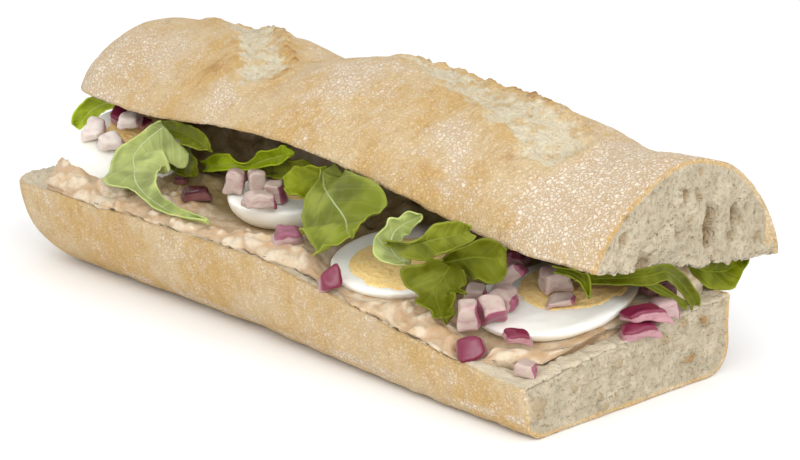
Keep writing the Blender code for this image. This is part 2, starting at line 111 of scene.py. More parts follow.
class Grain:
    """Random unevenness for many places at once, the same on every run."""

    CORNERS = 4096
    FULL_RANGE = 1.6
    LAYER_SHIFT = 31.7
    LAYER_STEP = 2.1
    CREST_SHIFT = 17.3

    def __init__(self, seed: int) -> None:
        """Shuffles the table that gives each lattice corner its direction.

        Args:
            seed: number that the unevenness is drawn from.
        """
        generator = np.random.default_rng(seed)
        self.table = generator.permutation(self.CORNERS)
        turns = generator.normal(size=(self.CORNERS, 3))
        self.turns = turns / np.linalg.norm(turns, axis=1, keepdims=True)
        self.spots = generator.random((self.CORNERS, 4))

    def corner(self, cells: np.ndarray) -> np.ndarray:
        """Returns the table row of each lattice corner."""
        row = self.table[cells[:, 0] & (self.CORNERS - 1)]
        for axis in (1, 2):
            row = self.table[(row + cells[:, axis]) & (self.CORNERS - 1)]
        return row

    def smooth(self, places: np.ndarray, size: float) -> np.ndarray:
        """Unevenness with soft bumps.

        Args:
            places: rows of x, y, z in millimetres.
            size: distance between bumps.

        Returns:
            A value from about -1 to 1 for each place.
        """
        spots = places / size
        cells = np.floor(spots).astype(int)
        inner = spots - cells
        ease = inner * inner * inner * (inner * (inner * 6 - 15) + 10)
        total = np.zeros(len(places))
        for step in range(8):
            offset = np.array([step & 1, step >> 1 & 1, step >> 2])
            pull = (self.turns[self.corner(cells + offset)] * (inner - offset)).sum(axis=1)
            weight = np.where(offset, ease, 1 - ease).prod(axis=1)
            total += pull * weight
        return total * self.FULL_RANGE

    def layered(self, places: np.ndarray, size: float, layers: int = 3) -> np.ndarray:
        """Returns soft bumps with finer ones on them."""
        return sum(
            self.smooth(places + self.LAYER_SHIFT * i, size / self.LAYER_STEP ** i) * 0.5 ** i
            for i in range(layers)
        )

    def ridges(self, places: np.ndarray, size: float, layers: int = 3) -> np.ndarray:
        """Returns sharp crests from 0 to about 1."""
        crests = sum((1 - 2 * np.abs(self.smooth(places + self.CREST_SHIFT * i, size / 2.0 ** i)))
                     * 0.5 ** i for i in range(layers))
        return crests / 1.75

    def wander(self, places: np.ndarray, size: float, reach: float, apart: float) -> np.ndarray:
        """Moves places about softly.

        Args:
            places: rows of x, y, z in millimetres.
            size: distance between bends.
            reach: how far a place moves.
            apart: distance between the patterns that move x, y and z.

        Returns:
            The moved places.
        """
        moves = [self.smooth(places + axis * apart, size) for axis in range(3)]
        return places + reach * np.stack(moves, axis=1)

    def pits(self, places: np.ndarray, size: float, share: float) -> np.ndarray:
        """Rounded hollows, as air leaves in dough.

        Args:
            places: rows of x, y, z in millimetres.
            size: distance between hollows.
            share: how many of the possible hollows there are.

        Returns:
            0 outside the hollows, up to 1 in their middle.
        """
        spots = places / size
        cells = np.floor(spots).astype(int)
        depth = np.zeros(len(places))
        for step in range(27):
            offset = np.array([step % 3, step // 3 % 3, step // 9]) - 1
            drawn = self.spots[self.corner(cells + offset)]
            away = np.linalg.norm(cells + offset + drawn[:, :3] - spots, axis=1)
            radius = np.where(drawn[:, 3] < share, 0.25 + 0.45 * drawn[:, 3] / share, 0.0)
            depth = np.maximum(depth, np.clip(1 - away / np.maximum(radius, 1e-6), 0, 1))
        return soft_steps(depth, 0.0, 0.65)


def deselect() -> None:
    """Leaves nothing selected, so that an operator acts on the new piece alone."""
    for other in bpy.context.view_layer.objects:
        other.select_set(False)


def sheet(name: str, rows: np.ndarray) -> bpy.types.Object:
    """Adds a grid and lays its points over rows of places.

    Args:
        name: the new object's name.
        rows: places in millimetres as an array of rows, columns and x, y, z.

    Returns:
        The new object, selected and active.
    """
    deselect()
    down, wide = rows.shape[:2]
    bpy.ops.mesh.primitive_grid_add(x_subdivisions=wide - 1, y_subdivisions=down - 1, size=1.0)
    made = bpy.context.object
    made.name = made.data.name = name
    made.data.vertices.foreach_set("co", (rows * MM).ravel())
    made.data.update()
    return made


def mark(made: bpy.types.Object, name: str, values: np.ndarray) -> None:
    """Writes one number for each point of a piece, for its finish to read."""
    layer = made.data.attributes.get(name) or made.data.attributes.new(name, "FLOAT", "POINT")
    layer.data.foreach_set("value", np.asarray(values, dtype=np.float32).ravel())


def marks(made: bpy.types.Object, name: str) -> np.ndarray:
    """Returns the number that each point of a piece carries."""
    values = np.empty(len(made.data.vertices), dtype=np.float32)
    made.data.attributes[name].data.foreach_get("value", values)
    return values


def points(made: bpy.types.Object) -> np.ndarray:
    """Returns the places of a piece's points in millimetres."""
    flat = np.empty(3 * len(made.data.vertices))
    made.data.vertices.foreach_get("co", flat)
    return flat.reshape(-1, 3) / MM


def normals(made: bpy.types.Object) -> np.ndarray:
    """Returns the direction in which each point of a piece faces."""
    flat = np.empty(3 * len(made.data.vertices))
    made.data.vertices.foreach_get("normal", flat)
    return flat.reshape(-1, 3)


def move_points(made: bpy.types.Object, places: np.ndarray) -> None:
    """Puts a piece's points at places in millimetres."""
    made.data.vertices.foreach_set("co", (places * MM).ravel())
    made.data.update()


def raise_points(made: bpy.types.Object, heights: np.ndarray) -> None:
    """Moves each point of a piece the way it faces, by its height in millimetres."""
    move_points(made, points(made) + normals(made) * heights[:, None])


def join(parts: Sequence[bpy.types.Object], name: str) -> bpy.types.Object:
    """Joins parts along their shared edges into one closed piece.

    Args:
        parts: objects whose edge points coincide.
        name: name of the joined piece.

    Returns:
        The joined object, with its faces outwards and smooth.
    """
    deselect()
    for part in parts:
        part.select_set(True)
    bpy.context.view_layer.objects.active = parts[0]
    if len(parts) > 1:
        bpy.ops.object.join()
    made = bpy.context.object
    made.name = made.data.name = name
    bpy.ops.object.mode_set(mode="EDIT")
    bpy.ops.mesh.select_all(action="SELECT")
    bpy.ops.mesh.remove_doubles(threshold=WELD)
    bpy.ops.mesh.normals_make_consistent(inside=False)
    bpy.ops.object.mode_set(mode="OBJECT")
    bpy.ops.object.shade_smooth()
    return made


def apply(made: bpy.types.Object, kind: str, **settings: object) -> None:
    """Adds a modifier and applies it.

    Args:
        made: the piece.
        kind: type of modifier.
        settings: values of the modifier's own settings.
    """
    step = made.modifiers.new("step", kind)
    for key, value in settings.items():
        setattr(step, key, value)
    bpy.context.view_layer.objects.active = made
    bpy.ops.object.modifier_apply(modifier="step")


def dress(made: bpy.types.Object, finish: bpy.types.Material, slot: str, *nodes: str) -> None:
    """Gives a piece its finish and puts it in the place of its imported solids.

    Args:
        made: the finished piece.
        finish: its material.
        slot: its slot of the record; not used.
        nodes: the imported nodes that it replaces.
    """
    made.data.materials.clear()
    made.data.materials.append(finish)
    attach(made, "root")
    if nodes:
        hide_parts(*nodes)
    log.info("%s: %d faces, %s", made.name, len(made.data.polygons), finish.name)


def curve_point(rib: Sequence[Place], t: float) -> Vector:
    """Finds a place on a smooth curve.

    Args:
        rib: points that the curve runs through.
        t: share of its way.

    Returns:
        The place on the curve.
    """
    spot = t * (len(rib) - 1)
    i = min(int(spot), len(rib) - 2)
    f = spot - i
    before, a = Vector(rib[max(i - 1, 0)]), Vector(rib[i])
    b, after = Vector(rib[i + 1]), Vector(rib[min(i + 2, len(rib) - 1)])
    squared = (2 * before - 5 * a + 4 * b - after) * f ** 2
    cubed = (3 * a - before - 3 * b + after) * f ** 3
    return 0.5 * (2 * a + (b - before) * f + squared + cubed)


def curve_value(values: Sequence[float], t: float) -> float:
    """Returns a value on a smooth line through evenly spaced values, at share t of the way."""
    return max(curve_point([(value, 0.0, 0.0) for value in values], t).x, 0.0)


# Finishes


class Finish:
    """A material drawn with nodes on the piece's own coordinates: colour, gloss and bumps."""

    def __init__(self, name: str, gloss: float = 0.5) -> None:
        """Starts from a plain Principled material.

        Args:
            name: the material's name.
            gloss: its roughness.
        """
        self.material = bpy.data.materials.new(name)
        self.material.use_nodes = True
        self.tree = self.material.node_tree
        self.shader = self.tree.nodes["Principled BSDF"]
        self.shader.inputs["Roughness"].default_value = gloss
        self.where = self.tree.nodes.new("ShaderNodeTexCoord").outputs["Object"]

    def feed(self, socket: bpy.types.NodeSocket, value: object) -> None:
        """Links a socket to a value, or sets it where the value is a plain one."""
        if isinstance(value, bpy.types.NodeSocket):
            self.tree.links.new(value, socket)
        elif isinstance(value, tuple) and len(socket.default_value) == 4:
            socket.default_value = (*value, 1.0)
        else:
            socket.default_value = value

    def set(self, name: str, value: object) -> None:
        """Sets or links one of the shader's own sockets."""
        self.feed(self.shader.inputs[name], value)

    def soft(self, weight: float, radius: Colour, depth: float) -> None:
        """Lets light through the surface, to a depth in millimetres."""
        self.set("Subsurface Weight", weight)
        self.shader.inputs["Subsurface Radius"].default_value = radius
        self.set("Subsurface Scale", depth * MM)

    def turned(self, turn: Place, stretch: Place) -> bpy.types.NodeSocket:
        """Coordinates for a pattern that runs aslant.

        Args:
            turn: degrees by which the axes are turned.
            stretch: how long the pattern is drawn on each of them.

        Returns:
            The piece's coordinates along those axes.
        """
        node = self.tree.nodes.new("ShaderNodeMapping")
        node.vector_type = "TEXTURE"
        self.feed(node.inputs["Vector"], self.where)
        node.inputs["Rotation"].default_value = [math.radians(angle) for angle in turn]
        node.inputs["Scale"].default_value = stretch
        return node.outputs["Vector"]

    def warped(self, size: float, reach: float) -> bpy.types.NodeSocket:
        """Coordinates for a pattern without straight lines.

        Args:
            size: distance between bends in millimetres.
            reach: how far the coordinates wander, in millimetres.

        Returns:
            The piece's coordinates, wandering.
        """
        node = self.tree.nodes.new("ShaderNodeTexNoise")
        self.feed(node.inputs["Vector"], self.where)
        node.inputs["Scale"].default_value = 1 / (size * MM)
        moved = self.tree.nodes.new("ShaderNodeVectorMath")
        moved.operation = "MULTIPLY_ADD"
        self.feed(moved.inputs[0], node.outputs["Color"])
        moved.inputs[1].default_value = (reach * MM, reach * MM, reach * MM)
        self.feed(moved.inputs[2], self.where)
        return moved.outputs["Vector"]

    def noise(self, size: float, detail: float = 3.0, rough: float = 0.55, twist: float = 0.0,
              where: bpy.types.NodeSocket | None = None) -> bpy.types.NodeSocket:
        """Cloudy unevenness.

        Args:
            size: distance between clouds in millimetres.
            detail: number of finer layers.
            rough: strength of each finer layer.
            twist: how much the clouds are warped.
            where: coordinates, or the piece's own.

        Returns:
            A value from 0 to 1.
        """
        node = self.tree.nodes.new("ShaderNodeTexNoise")
        self.feed(node.inputs["Vector"], where or self.where)
        node.inputs["Scale"].default_value = 1 / (size * MM)
        node.inputs["Detail"].default_value = detail
        node.inputs["Roughness"].default_value = rough
        node.inputs["Distortion"].default_value = twist
        return node.outputs["Fac"]

    def cells(self, size: float, feature: str = "F1",
              where: bpy.types.NodeSocket | None = None) -> bpy.types.NodeSocket:
        """Cells packed side by side.

        Args:
            size: distance between cells in millimetres.
            feature: what is measured, from the middle or to the edge of a cell.
            where: coordinates, or the piece's own.

        Returns:
            The distance, in cells.
        """
        node = self.tree.nodes.new("ShaderNodeTexVoronoi")
        node.feature = feature
        self.feed(node.inputs["Vector"], where or self.where)
        node.inputs["Scale"].default_value = 1 / (size * MM)
        return node.outputs["Distance"]

    def reading(self, name: str) -> bpy.types.NodeSocket:
        """Returns the number that the piece's points carry under a name."""
        node = self.tree.nodes.new("ShaderNodeAttribute")
        node.attribute_name = name
        return node.outputs["Fac"]

    def level(self, value: object, low: float, high: float, start: float = 0.0,
              end: float = 1.0) -> bpy.types.NodeSocket:
        """Turns a value into a share.

        Args:
            value: the value to read.
            low: where the change begins.
            high: where the change is complete.
            start: share below low.
            end: share above high.

        Returns:
            The share, with a soft change between.
        """
        node = self.tree.nodes.new("ShaderNodeMapRange")
        node.interpolation_type = "SMOOTHSTEP"
        for name, number in zip(("Value", "From Min", "From Max", "To Min", "To Max"),
                                (value, low, high, start, end)):
            self.feed(node.inputs[name], number)
        return node.outputs["Result"]

    def reckon(self, operation: str, a: object, b: object = 0.0) -> bpy.types.NodeSocket:
        """Reckons with two values.

        Args:
            operation: name of the reckoning, as a Math node calls it.
            a: first value.
            b: second value, where the reckoning has one.

        Returns:
            The result.
        """
        node = self.tree.nodes.new("ShaderNodeMath")
        node.operation = operation
        self.feed(node.inputs[0], a)
        self.feed(node.inputs[1], b)
        return node.outputs["Value"]

    def product(self, a: object, b: object) -> bpy.types.NodeSocket:
        """Returns one value times the other."""
        return self.reckon("MULTIPLY", a, b)

    def blend(self, share: object, below: object, above: object) -> bpy.types.NodeSocket:
        """Mixes two colours.

        Args:
            share: how much of the upper colour shows.
            below: lower colour.
            above: upper colour.

        Returns:
            The colour between.
        """
        node = self.tree.nodes.new("ShaderNodeMix")
        node.data_type = "RGBA"
        self.feed(node.inputs[0], share)
        self.feed(node.inputs[6], below)
        self.feed(node.inputs[7], above)
        return node.outputs[2]

    def bump(self, height: object, depth: float,
             under: bpy.types.NodeSocket | None = None) -> bpy.types.NodeSocket:
        """Tilts the surface by a height.

        Args:
            height: height from 0 to 1.
            depth: millimetres that a height of 1 stands for.
            under: direction of the surface before, or the mesh's own.

        Returns:
            The surface's direction.
        """
        node = self.tree.nodes.new("ShaderNodeBump")
        node.inputs["Distance"].default_value = depth * MM
        self.feed(node.inputs["Height"], height)
        if under is not None:
            self.feed(node.inputs["Normal"], under)
        return node.outputs["Normal"]


@dataclass(frozen=True)
class BreadFinish:
    """Golden crust with flour on it, and cream crumb where the bread is cut or torn."""

    golden: Colour = (0.55, 0.36, 0.138)
    tan: Colour = (0.60, 0.455, 0.260)
    brown: Colour = (0.36, 0.18, 0.06)
    rust: Colour = (0.42, 0.235, 0.09)
    dust: Colour = (0.66, 0.57, 0.45)
    flour: Colour = (0.76, 0.69, 0.59)
    cream: Colour = (0.43, 0.37, 0.265)
    # Painted shade for the crumb's pores and air holes, also laid as soft mottling.
    hollow: Colour = (0.34, 0.25, 0.14)
    # Painted shade deep inside the large air holes of the cut faces.
    hole_shade: Colour = (0.36, 0.21, 0.085)
    strip: Colour = (0.60, 0.52, 0.385)
    torn: Colour = (0.66, 0.59, 0.425)
    # Painted shade, laid as darker streaks in the torn dough.
    fold: Colour = (0.50, 0.415, 0.25)
    shade: Colour = (0.11, 0.07, 0.03)
    grain: float = 1.25
    pore: float = 1.2
    wrinkle_turn: Place = (0.0, 0.0, -14.0)
    streak_turn: Place = (0.0, 0.0, -20.0)
    wrinkle_depth: float = 0.40
    grain_depth: float = 0.16
    pore_depth: float = 0.30
    crumb_depth: float = 0.75

    def edge(self, f: Finish) -> bpy.types.NodeSocket:
        """Returns the distance to the crease between the small grains that cover the crust."""
        return f.cells(self.grain, "DISTANCE_TO_EDGE", f.warped(1.0, 2.2))

    def pores(self, f: Finish) -> bpy.types.NodeSocket:
        """Returns the distance to the middle of the small pores of the crumb."""
        return f.cells(self.pore, where=f.warped(1.5, 1.2))

    def drift(self, f: Finish) -> bpy.types.NodeSocket:
        """Returns how thick the flour lies: clouds, and more of it where the points say so."""
        drift = f.reckon("ADD", f.noise(8.0, 4.0, 0.62), f.product(f.reading("flour"), 0.42))
        return f.level(f.reckon("ADD", drift, f.product(f.noise(2.4, 2.0), 0.40)), 0.68, 1.12)

    def crust(self, f: Finish) -> bpy.types.NodeSocket:
        """Paints the crust: clouds and lines, grains of flour in drifts, brown crags.

        Args:
            f: the finish under way, which the nodes are added to.

        Returns:
            The colour.
        """
        plain = f.level(f.reading("torn"), 0.05, 0.40, 1.0, 0.15)
        body = f.blend(f.level(f.noise(22.0, 3.0), 0.38, 0.62), self.golden, self.tan)
        body = f.blend(f.level(f.noise(6.0, 4.0, 0.6), 0.50, 0.75, 0.0, 0.28), body, self.brown)
        lines = f.noise(2.0, 3.0, 0.55, 0.3, f.turned(self.wrinkle_turn, (1.0, 3.5, 3.5)))
        body = f.blend(f.level(lines, 0.56, 0.72, 0.0, 0.28), body, self.brown)
        body = f.blend(f.level(lines, 0.30, 0.46, 0.28, 0.0), body, self.dust)
        drift = f.product(self.drift(f), plain)
        body = f.blend(f.product(drift, 0.6), body, self.dust)
        edge = self.edge(f)
        crease = f.reckon("ADD", 0.16, f.product(drift, 0.34))
        crease = f.product(crease, f.level(edge, 0.0, 0.20, 1.0, 0.0))
        body = f.blend(f.product(crease, plain), body, self.rust)
        grain = f.reckon("ADD", 0.18, f.product(drift, 0.62))
        grain = f.product(grain, f.level(edge, 0.02, 0.32))
        grain = f.product(grain, f.level(f.noise(2.1, 3.0, 0.6), 0.38, 0.60, 0.15, 1.0))
        body = f.blend(f.product(grain, plain), body, self.flour)
        crags = f.reckon("SUBTRACT", f.product(f.noise(2.4, 3.0), 0.5), f.reading("flour"))
        return f.blend(f.level(crags, 0.45, 0.95, 0.0, 0.9), body, self.brown)

    def dough(self, f: Finish) -> bpy.types.NodeSocket:
        """Paints torn dough: cream streaks, darker streaks of painted shade as in folds, golden
        places.

        Args:
            f: the finish under way, which the nodes are added to.

        Returns:
            The colour.
        """
        streaks = f.noise(2.6, 4.0, 0.6, 0.5, f.turned(self.streak_turn, (3.2, 1.0, 1.0)))
        body = f.blend(f.level(streaks, 0.42, 0.62), self.torn, self.strip)
        # Darker streaks: painted shade, as in the folds of torn dough.
        body = f.blend(f.level(streaks, 0.60, 0.78, 0.0, 0.75), body, self.fold)
        return f.blend(f.level(f.noise(6.0, 4.0, 0.6), 0.49, 0.66, 0.0, 0.60), body, self.golden)

    def crumb(self, f: Finish) -> bpy.types.NodeSocket:
        """Paints the crumb: cream clouds, paler rims, painted shade in pores and under the lid.

        Args:
            f: the finish under way, which the nodes are added to.

        Returns:
            The colour.
        """
        clouds = f.level(f.noise(7.0, 4.0, 0.6), 0.42, 0.66, 0.0, 0.55)
        body = f.blend(clouds, self.cream, self.strip)
        # hollow is painted shade: soft mottling, then the pores and the air holes.
        body = f.blend(f.level(f.noise(3.0, 4.0, 0.6), 0.50, 0.74, 0.0, 0.35), body, self.hollow)
        body = f.blend(f.level(self.pores(f), 0.15, 0.55, 0.16, 0.0), body, self.hollow)
        pit = f.reading("pit")
        body = f.blend(f.level(pit, 0.15, 0.6, 0.0, 0.75), body, self.hollow)
        # Painted shade deep in the large air holes.
        body = f.blend(f.level(pit, 0.62, 0.85, 0.0, 0.85), body, self.hole_shade)
        body = f.blend(f.level(f.reading("end"), 0.0, 0.5, 0.7, 0.0), body, self.strip)
        return f.blend(f.reading("shade"), body, self.shade)

    def relief(self, f: Finish) -> bpy.types.NodeSocket:
        """Draws the small relief: wrinkles, grains on the crust, pores in the crumb.

        Args:
            f: the finish under way, which the nodes are added to.

        Returns:
            The surface's direction.
        """
        crumb = f.reading("crumb")
        wrinkle = f.noise(2.2, 3.0, 0.6, 0.3, f.turned(self.wrinkle_turn, (1.0, 3.0, 3.0)))
        wrinkle = f.reckon("ADD", f.noise(0.9, 2.0, 0.6), f.product(wrinkle, 0.7))
        relief = f.bump(wrinkle, self.wrinkle_depth)
        bare = f.reckon("SUBTRACT", 1.0, crumb)
        grain = f.product(f.level(self.edge(f), 0.0, 0.22), bare)
        relief = f.bump(grain, self.grain_depth, relief)
        open_crumb = f.product(crumb, f.level(f.reading("end"), 0.0, 0.6, 0.35, 1.0))
        pores = f.product(f.level(self.pores(f), 0.10, 0.55), open_crumb)
        relief = f.bump(pores, self.pore_depth, relief)
        return f.bump(f.product(f.noise(1.9, 4.0, 0.65), open_crumb), self.crumb_depth, relief)

    def build(self, name: str) -> bpy.types.Material:
        """Makes the material.

        Args:
            name: its name.

        Returns:
            The material, which reads crumb, torn, flour, pit, end and shade from the points.
        """
        f = Finish(name, 0.75)
        uneven = f.level(f.noise(3.4, 4.0, 0.62), 0.3, 0.7, -0.35, 0.35)
        ragged = f.reckon("ADD", f.reading("torn"), uneven)
        crust = f.blend(f.level(ragged, 0.40, 0.95), self.crust(f), self.dough(f))
        inside = f.level(f.reading("crumb"), 0.25, 0.8)
        f.set("Base Color", f.blend(inside, crust, self.crumb(f)))
        f.set("Normal", self.relief(f))
        f.set("Specular IOR Level", 0.2)
        f.soft(0.12, (1.0, 0.6, 0.3), 1.5)
        return f.material


@dataclass(frozen=True)
class SpreadFinish:
    """Moist tuna spread: cream lumps, brown flakes, painted shade in folds and under the lid."""

    cream: Colour = (0.64, 0.54, 0.40)
    tuna: Colour = (0.57, 0.42, 0.255)
    # Brown of the tuna flakes, also painted shade in the dips between the lumps.
    fold: Colour = (0.42, 0.23, 0.095)
    # Painted shade on the spread at the back, under the lid.
    deep: Colour = (0.24, 0.17, 0.055)
    lump_depth: float = 0.45
    flake_depth: float = 0.25

    def build(self, name: str) -> bpy.types.Material:
        """Makes the material.

        Args:
            name: its name.

        Returns:
            The material, which reads dip and deep from the points, both painted shade.
        """
        f = Finish(name, 0.40)
        body = f.blend(f.level(f.noise(5.5, 3.0, 0.6), 0.42, 0.68), self.cream, self.tuna)
        flakes = f.level(f.noise(1.6, 3.0, 0.6, 0.4), 0.52, 0.72, 0.0, 0.45)
        body = f.blend(flakes, body, self.fold)
        # Painted shade in the dips between the lumps.
        body = f.blend(f.level(f.reading("dip"), 0.2, 1.0, 0.0, 0.7), body, self.fold)
        # Painted shade at the back, under the lid.
        f.set("Base Color", f.blend(f.reading("deep"), body, self.deep))
        relief = f.bump(f.noise(2.6, 3.0, 0.5, 0.4), self.lump_depth)
        f.set("Normal", f.bump(f.noise(1.1, 3.0, 0.6), self.flake_depth, relief))
        f.set("Specular IOR Level", 0.35)
        f.soft(0.3, (1.0, 0.6, 0.35), 1.6)
        return f.material


@dataclass(frozen=True)
class EggWhiteFinish:
    """Boiled egg white, smooth and a little clear."""

    white: Colour = (0.96, 0.94, 0.86)
    cool: Colour = (0.93, 0.905, 0.82)
    shade: Colour = (0.30, 0.22, 0.13)
    ripple_depth: float = 0.10

    def build(self, name: str) -> bpy.types.Material:
        """Makes the material.

        Args:
            name: its name.

        Returns:
            The material, which reads shade from the points.
        """
        f = Finish(name, 0.34)
        body = f.blend(f.level(f.noise(9.0, 2.0), 0.4, 0.7), self.white, self.cool)
        f.set("Base Color", f.blend(f.reading("shade"), body, self.shade))
        f.set("Normal", f.bump(f.noise(3.5, 3.0, 0.5), self.ripple_depth))
        f.soft(0.4, (1.0, 0.95, 0.8), 2.5)
        return f.material


@dataclass(frozen=True)
class YolkFinish:
    """Dry, crumbly boiled yolk."""

    yellow: Colour = (0.95, 0.71, 0.31)
    deep: Colour = (0.92, 0.50, 0.13)
    shade: Colour = (0.50, 0.30, 0.10)
    crumb_depth: float = 0.4

    def build(self, name: str) -> bpy.types.Material:
        """Makes the material.

        Args:
            name: its name.

        Returns:
            The material, which reads shade from the points.
        """
        f = Finish(name, 0.8)
        grain = f.noise(1.3, 4.0, 0.7)
        body = f.blend(f.level(grain, 0.45, 0.70, 0.0, 0.8), self.yellow, self.deep)
        f.set("Base Color", f.blend(f.reading("shade"), body, self.shade))
        f.set("Normal", f.bump(grain, self.crumb_depth))
        f.set("Specular IOR Level", 0.2)
        f.soft(0.15, (1.0, 0.6, 0.2), 1.5)
        return f.material


class LeafTone(Enum):
    """How a leaf looks, as lit and shaded copies of one green: stalk, tip and rib colours."""

    SUNNY = ((0.36, 0.43, 0.034), (0.30, 0.38, 0.020), (0.48, 0.54, 0.18))
    LIT = ((0.25, 0.32, 0.004), (0.23, 0.30, 0.004), (0.36, 0.43, 0.08))
    FACE = ((0.31, 0.35, 0.125), (0.26, 0.31, 0.090), (0.50, 0.56, 0.30))
    MIDDLE = ((0.14, 0.158, 0.010), (0.15, 0.168, 0.010), (0.20, 0.23, 0.04))
    HANGING = ((0.145, 0.165, 0.022), (0.15, 0.18, 0.004), (0.44, 0.50, 0.26))
    BRIGHT = ((0.135, 0.155, 0.004), (0.17, 0.200, 0.003), (0.20, 0.245, 0.02))
    # Leaves deep in painted shade under the lid.
    DEEP = ((0.088, 0.098, 0.002), (0.11, 0.122, 0.002), (0.14, 0.165, 0.012))
    # Painted shade: a leaf a little lighter than the deepest.
    DARK = ((0.115, 0.128, 0.004), (0.14, 0.155, 0.006), (0.16, 0.18, 0.02))


@dataclass(frozen=True)
class LeafFinish:
    """Rocket leaf: thin rib, faint veins, patches of painted highlight and shade, highlit margins.
    """

    tone: LeafTone
    lighten: float = 1.75
    veil: Colour = (0.035, 0.035, 0.018)
    # How dark the patches of painted shade are.
    shade_patch_scale: float = 0.50
    vein_depth: float = 0.10
    rib_depth: float = 0.2
    wrinkle_depth: float = 0.10

    def build(self, name: str) -> bpy.types.Material:
        """Makes the material.

        Args:
            name: its name.

        Returns:
            The material, which reads rib, side, far and margin from the points.
        """
        f = Finish(name, 0.42)
        near, tip, vein = self.tone.value
        pale = tuple(min(1.0, self.lighten * c + veil) for c, veil in zip(near, self.veil))
        shade_patch = tuple(self.shade_patch_scale * c for c in near)
        far = f.reading("far")
        # The green changes from stalk to tip as painted light and shade.
        body = f.blend(f.level(far, 0.35, 0.85), near, tip)
        # Soft patches of painted highlight, then of painted shade.
        body = f.blend(f.level(f.noise(10.0, 2.0), 0.42, 0.70, 0.0, 0.62), body, pale)
        body = f.blend(f.level(f.noise(8.0, 2.0), 0.46, 0.72, 0.0, 0.62), body, shade_patch)
        side = f.reckon("SUBTRACT", f.reckon("FRACT", f.reading("side")), 0.5)
        side = f.reckon("ABSOLUTE", side)
        body = f.blend(f.level(side, 0.0, 0.045, 0.30, 0.0), body, pale)
        rib = f.level(f.reckon("ABSOLUTE", f.reading("rib")), 0.12, 0.36, 0.8, 0.0)
        rib = f.product(rib, f.level(far, 0.55, 0.95, 1.0, 0.25))
        body = f.blend(rib, body, vein)
        # Painted highlight along the margins and at the tip.
        margin = f.level(f.reading("margin"), 0.35, 1.0, 0.0, 0.45)
        f.set("Base Color", f.blend(margin, body, pale))
        relief = f.bump(f.level(side, 0.0, 0.16), self.vein_depth)
        relief = f.bump(rib, self.rib_depth, relief)
        f.set("Normal", f.bump(f.noise(1.6, 3.0), self.wrinkle_depth, relief))
        f.set("Specular IOR Level", 0.22)
        f.set("Specular Tint", (0.85, 0.95, 0.45))
        f.soft(0.3, (0.6, 1.0, 0.1), 0.8)
        return f.material


class OnionTone(Enum):
    """How red a piece of onion is: flesh colour, then skin colour; one copy is painted in shade."""

    CLEAR = ((0.70, 0.62, 0.56), (0.56, 0.33, 0.36))
    PALE = ((0.49, 0.385, 0.33), (0.33, 0.09, 0.15))
    PINK = ((0.48, 0.33, 0.32), (0.27, 0.08, 0.125))
    PURPLE = ((0.44, 0.23, 0.25), (0.18, 0.014, 0.045))
    # A purple piece painted darker, as in shade.
    DARK = ((0.20, 0.08, 0.08), (0.07, 0.012, 0.02))


@dataclass(frozen=True)
class OnionFinish:
    """Moist chopped red onion, purple on the skin side."""

    tone: OnionTone
    layer_turn: Place = (20.0, 0.0, 40.0)
    ripple_depth: float = 0.15

    def build(self, name: str) -> bpy.types.Material:
        """Makes the material.

        Args:
            name: its name.

        Returns:
            The material, which reads skin from the points.
        """
        f = Finish(name, 0.28)
        flesh, skin = self.tone.value
        uneven = f.level(f.noise(2.5, 3.0), 0.3, 0.7, -0.15, 0.15)
        share = f.reckon("ADD", f.reading("skin"), uneven)
        layers = f.noise(1.1, 2.0, 0.5, 0.4, f.turned(self.layer_turn, (3.5, 3.5, 1.0)))
        body = f.blend(f.level(layers, 0.48, 0.72, 0.0, 0.40), flesh, skin)
        f.set("Base Color", f.blend(f.level(share, 0.4, 0.8), body, skin))
        f.set("Normal", f.bump(f.noise(2.0, 3.0), self.ripple_depth))
        f.soft(0.35, (1.0, 0.7, 0.75), 2.0)
        return f.material


# The bread


@dataclass(frozen=True)
class Score:
    """A slash that opened in the oven, from start to end, each (x, share of the width)."""

    start: tuple[float, float]
    end: tuple[float, float]
    width: float = 7.0
    depth: float = 1.7
    lip: float = 1.15

    def ends(self, bread_width: float) -> tuple[Vector, Vector]:
        """Returns both ends of the slash in millimetres, along X and across."""
        return tuple(Vector((x, share * bread_width)) for x, share in (self.start, self.end))

    def away(self, x: float, across: float, bread_width: float) -> float:
        """Distance from the slash's middle line.

        Args:
            x: place along the bread.
            across: share of the bread's width.
            bread_width: the bread's width in millimetres.

        Returns:
            The distance, in widths of the slash.
        """
        a, b = self.ends(bread_width)
        p = Vector((x, across * bread_width))
        t = min(max((p - a).dot(b - a) / (b - a).length_squared, 0.0), 1.0)
        return (p - (a + (b - a) * t)).length / self.width

    def beyond(self, x: float, across: float, bread_width: float) -> bool:
        """Tells whether a place lies on the far side of the slash's middle line."""
        a, b = self.ends(bread_width)
        return (b - a).cross(Vector((x, across * bread_width)) - a) > 0

    def relief(self, away: float) -> float:
        """Returns the height that the slash adds: a valley between two raised lips."""
        return self.depth * (0.9 * hump(away - self.lip, 0.4) - hump(away, 0.75))


@dataclass(frozen=True)
class Hole:
    """A large air hole in a cut face: its middle and half sizes across and up, and its depth."""

    middle: tuple[float, float]
    half: tuple[float, float]
    depth: float

    def pit(self, places: np.ndarray) -> np.ndarray:
        """Returns how far inside the hole each place is, from 0 to 1."""
        away = np.hypot((places[:, 1] - self.middle[0]) / self.half[0],
                        (places[:, 2] - self.middle[1]) / self.half[1])
        return 1 - soft_steps(away, 0.6, 1.1)


@dataclass(frozen=True)
class Dust:
    """Flour on the crust, or bare crust below 0: its place, its reach both ways, and how much."""

    x: float
    across: float
    reach: float
    spread: float
    amount: float

    def share(self, x: float, across: float) -> float:
        """Returns how much of it lies there."""
        return self.amount * hump(x - self.x, self.reach) * hump(across - self.across, self.spread)


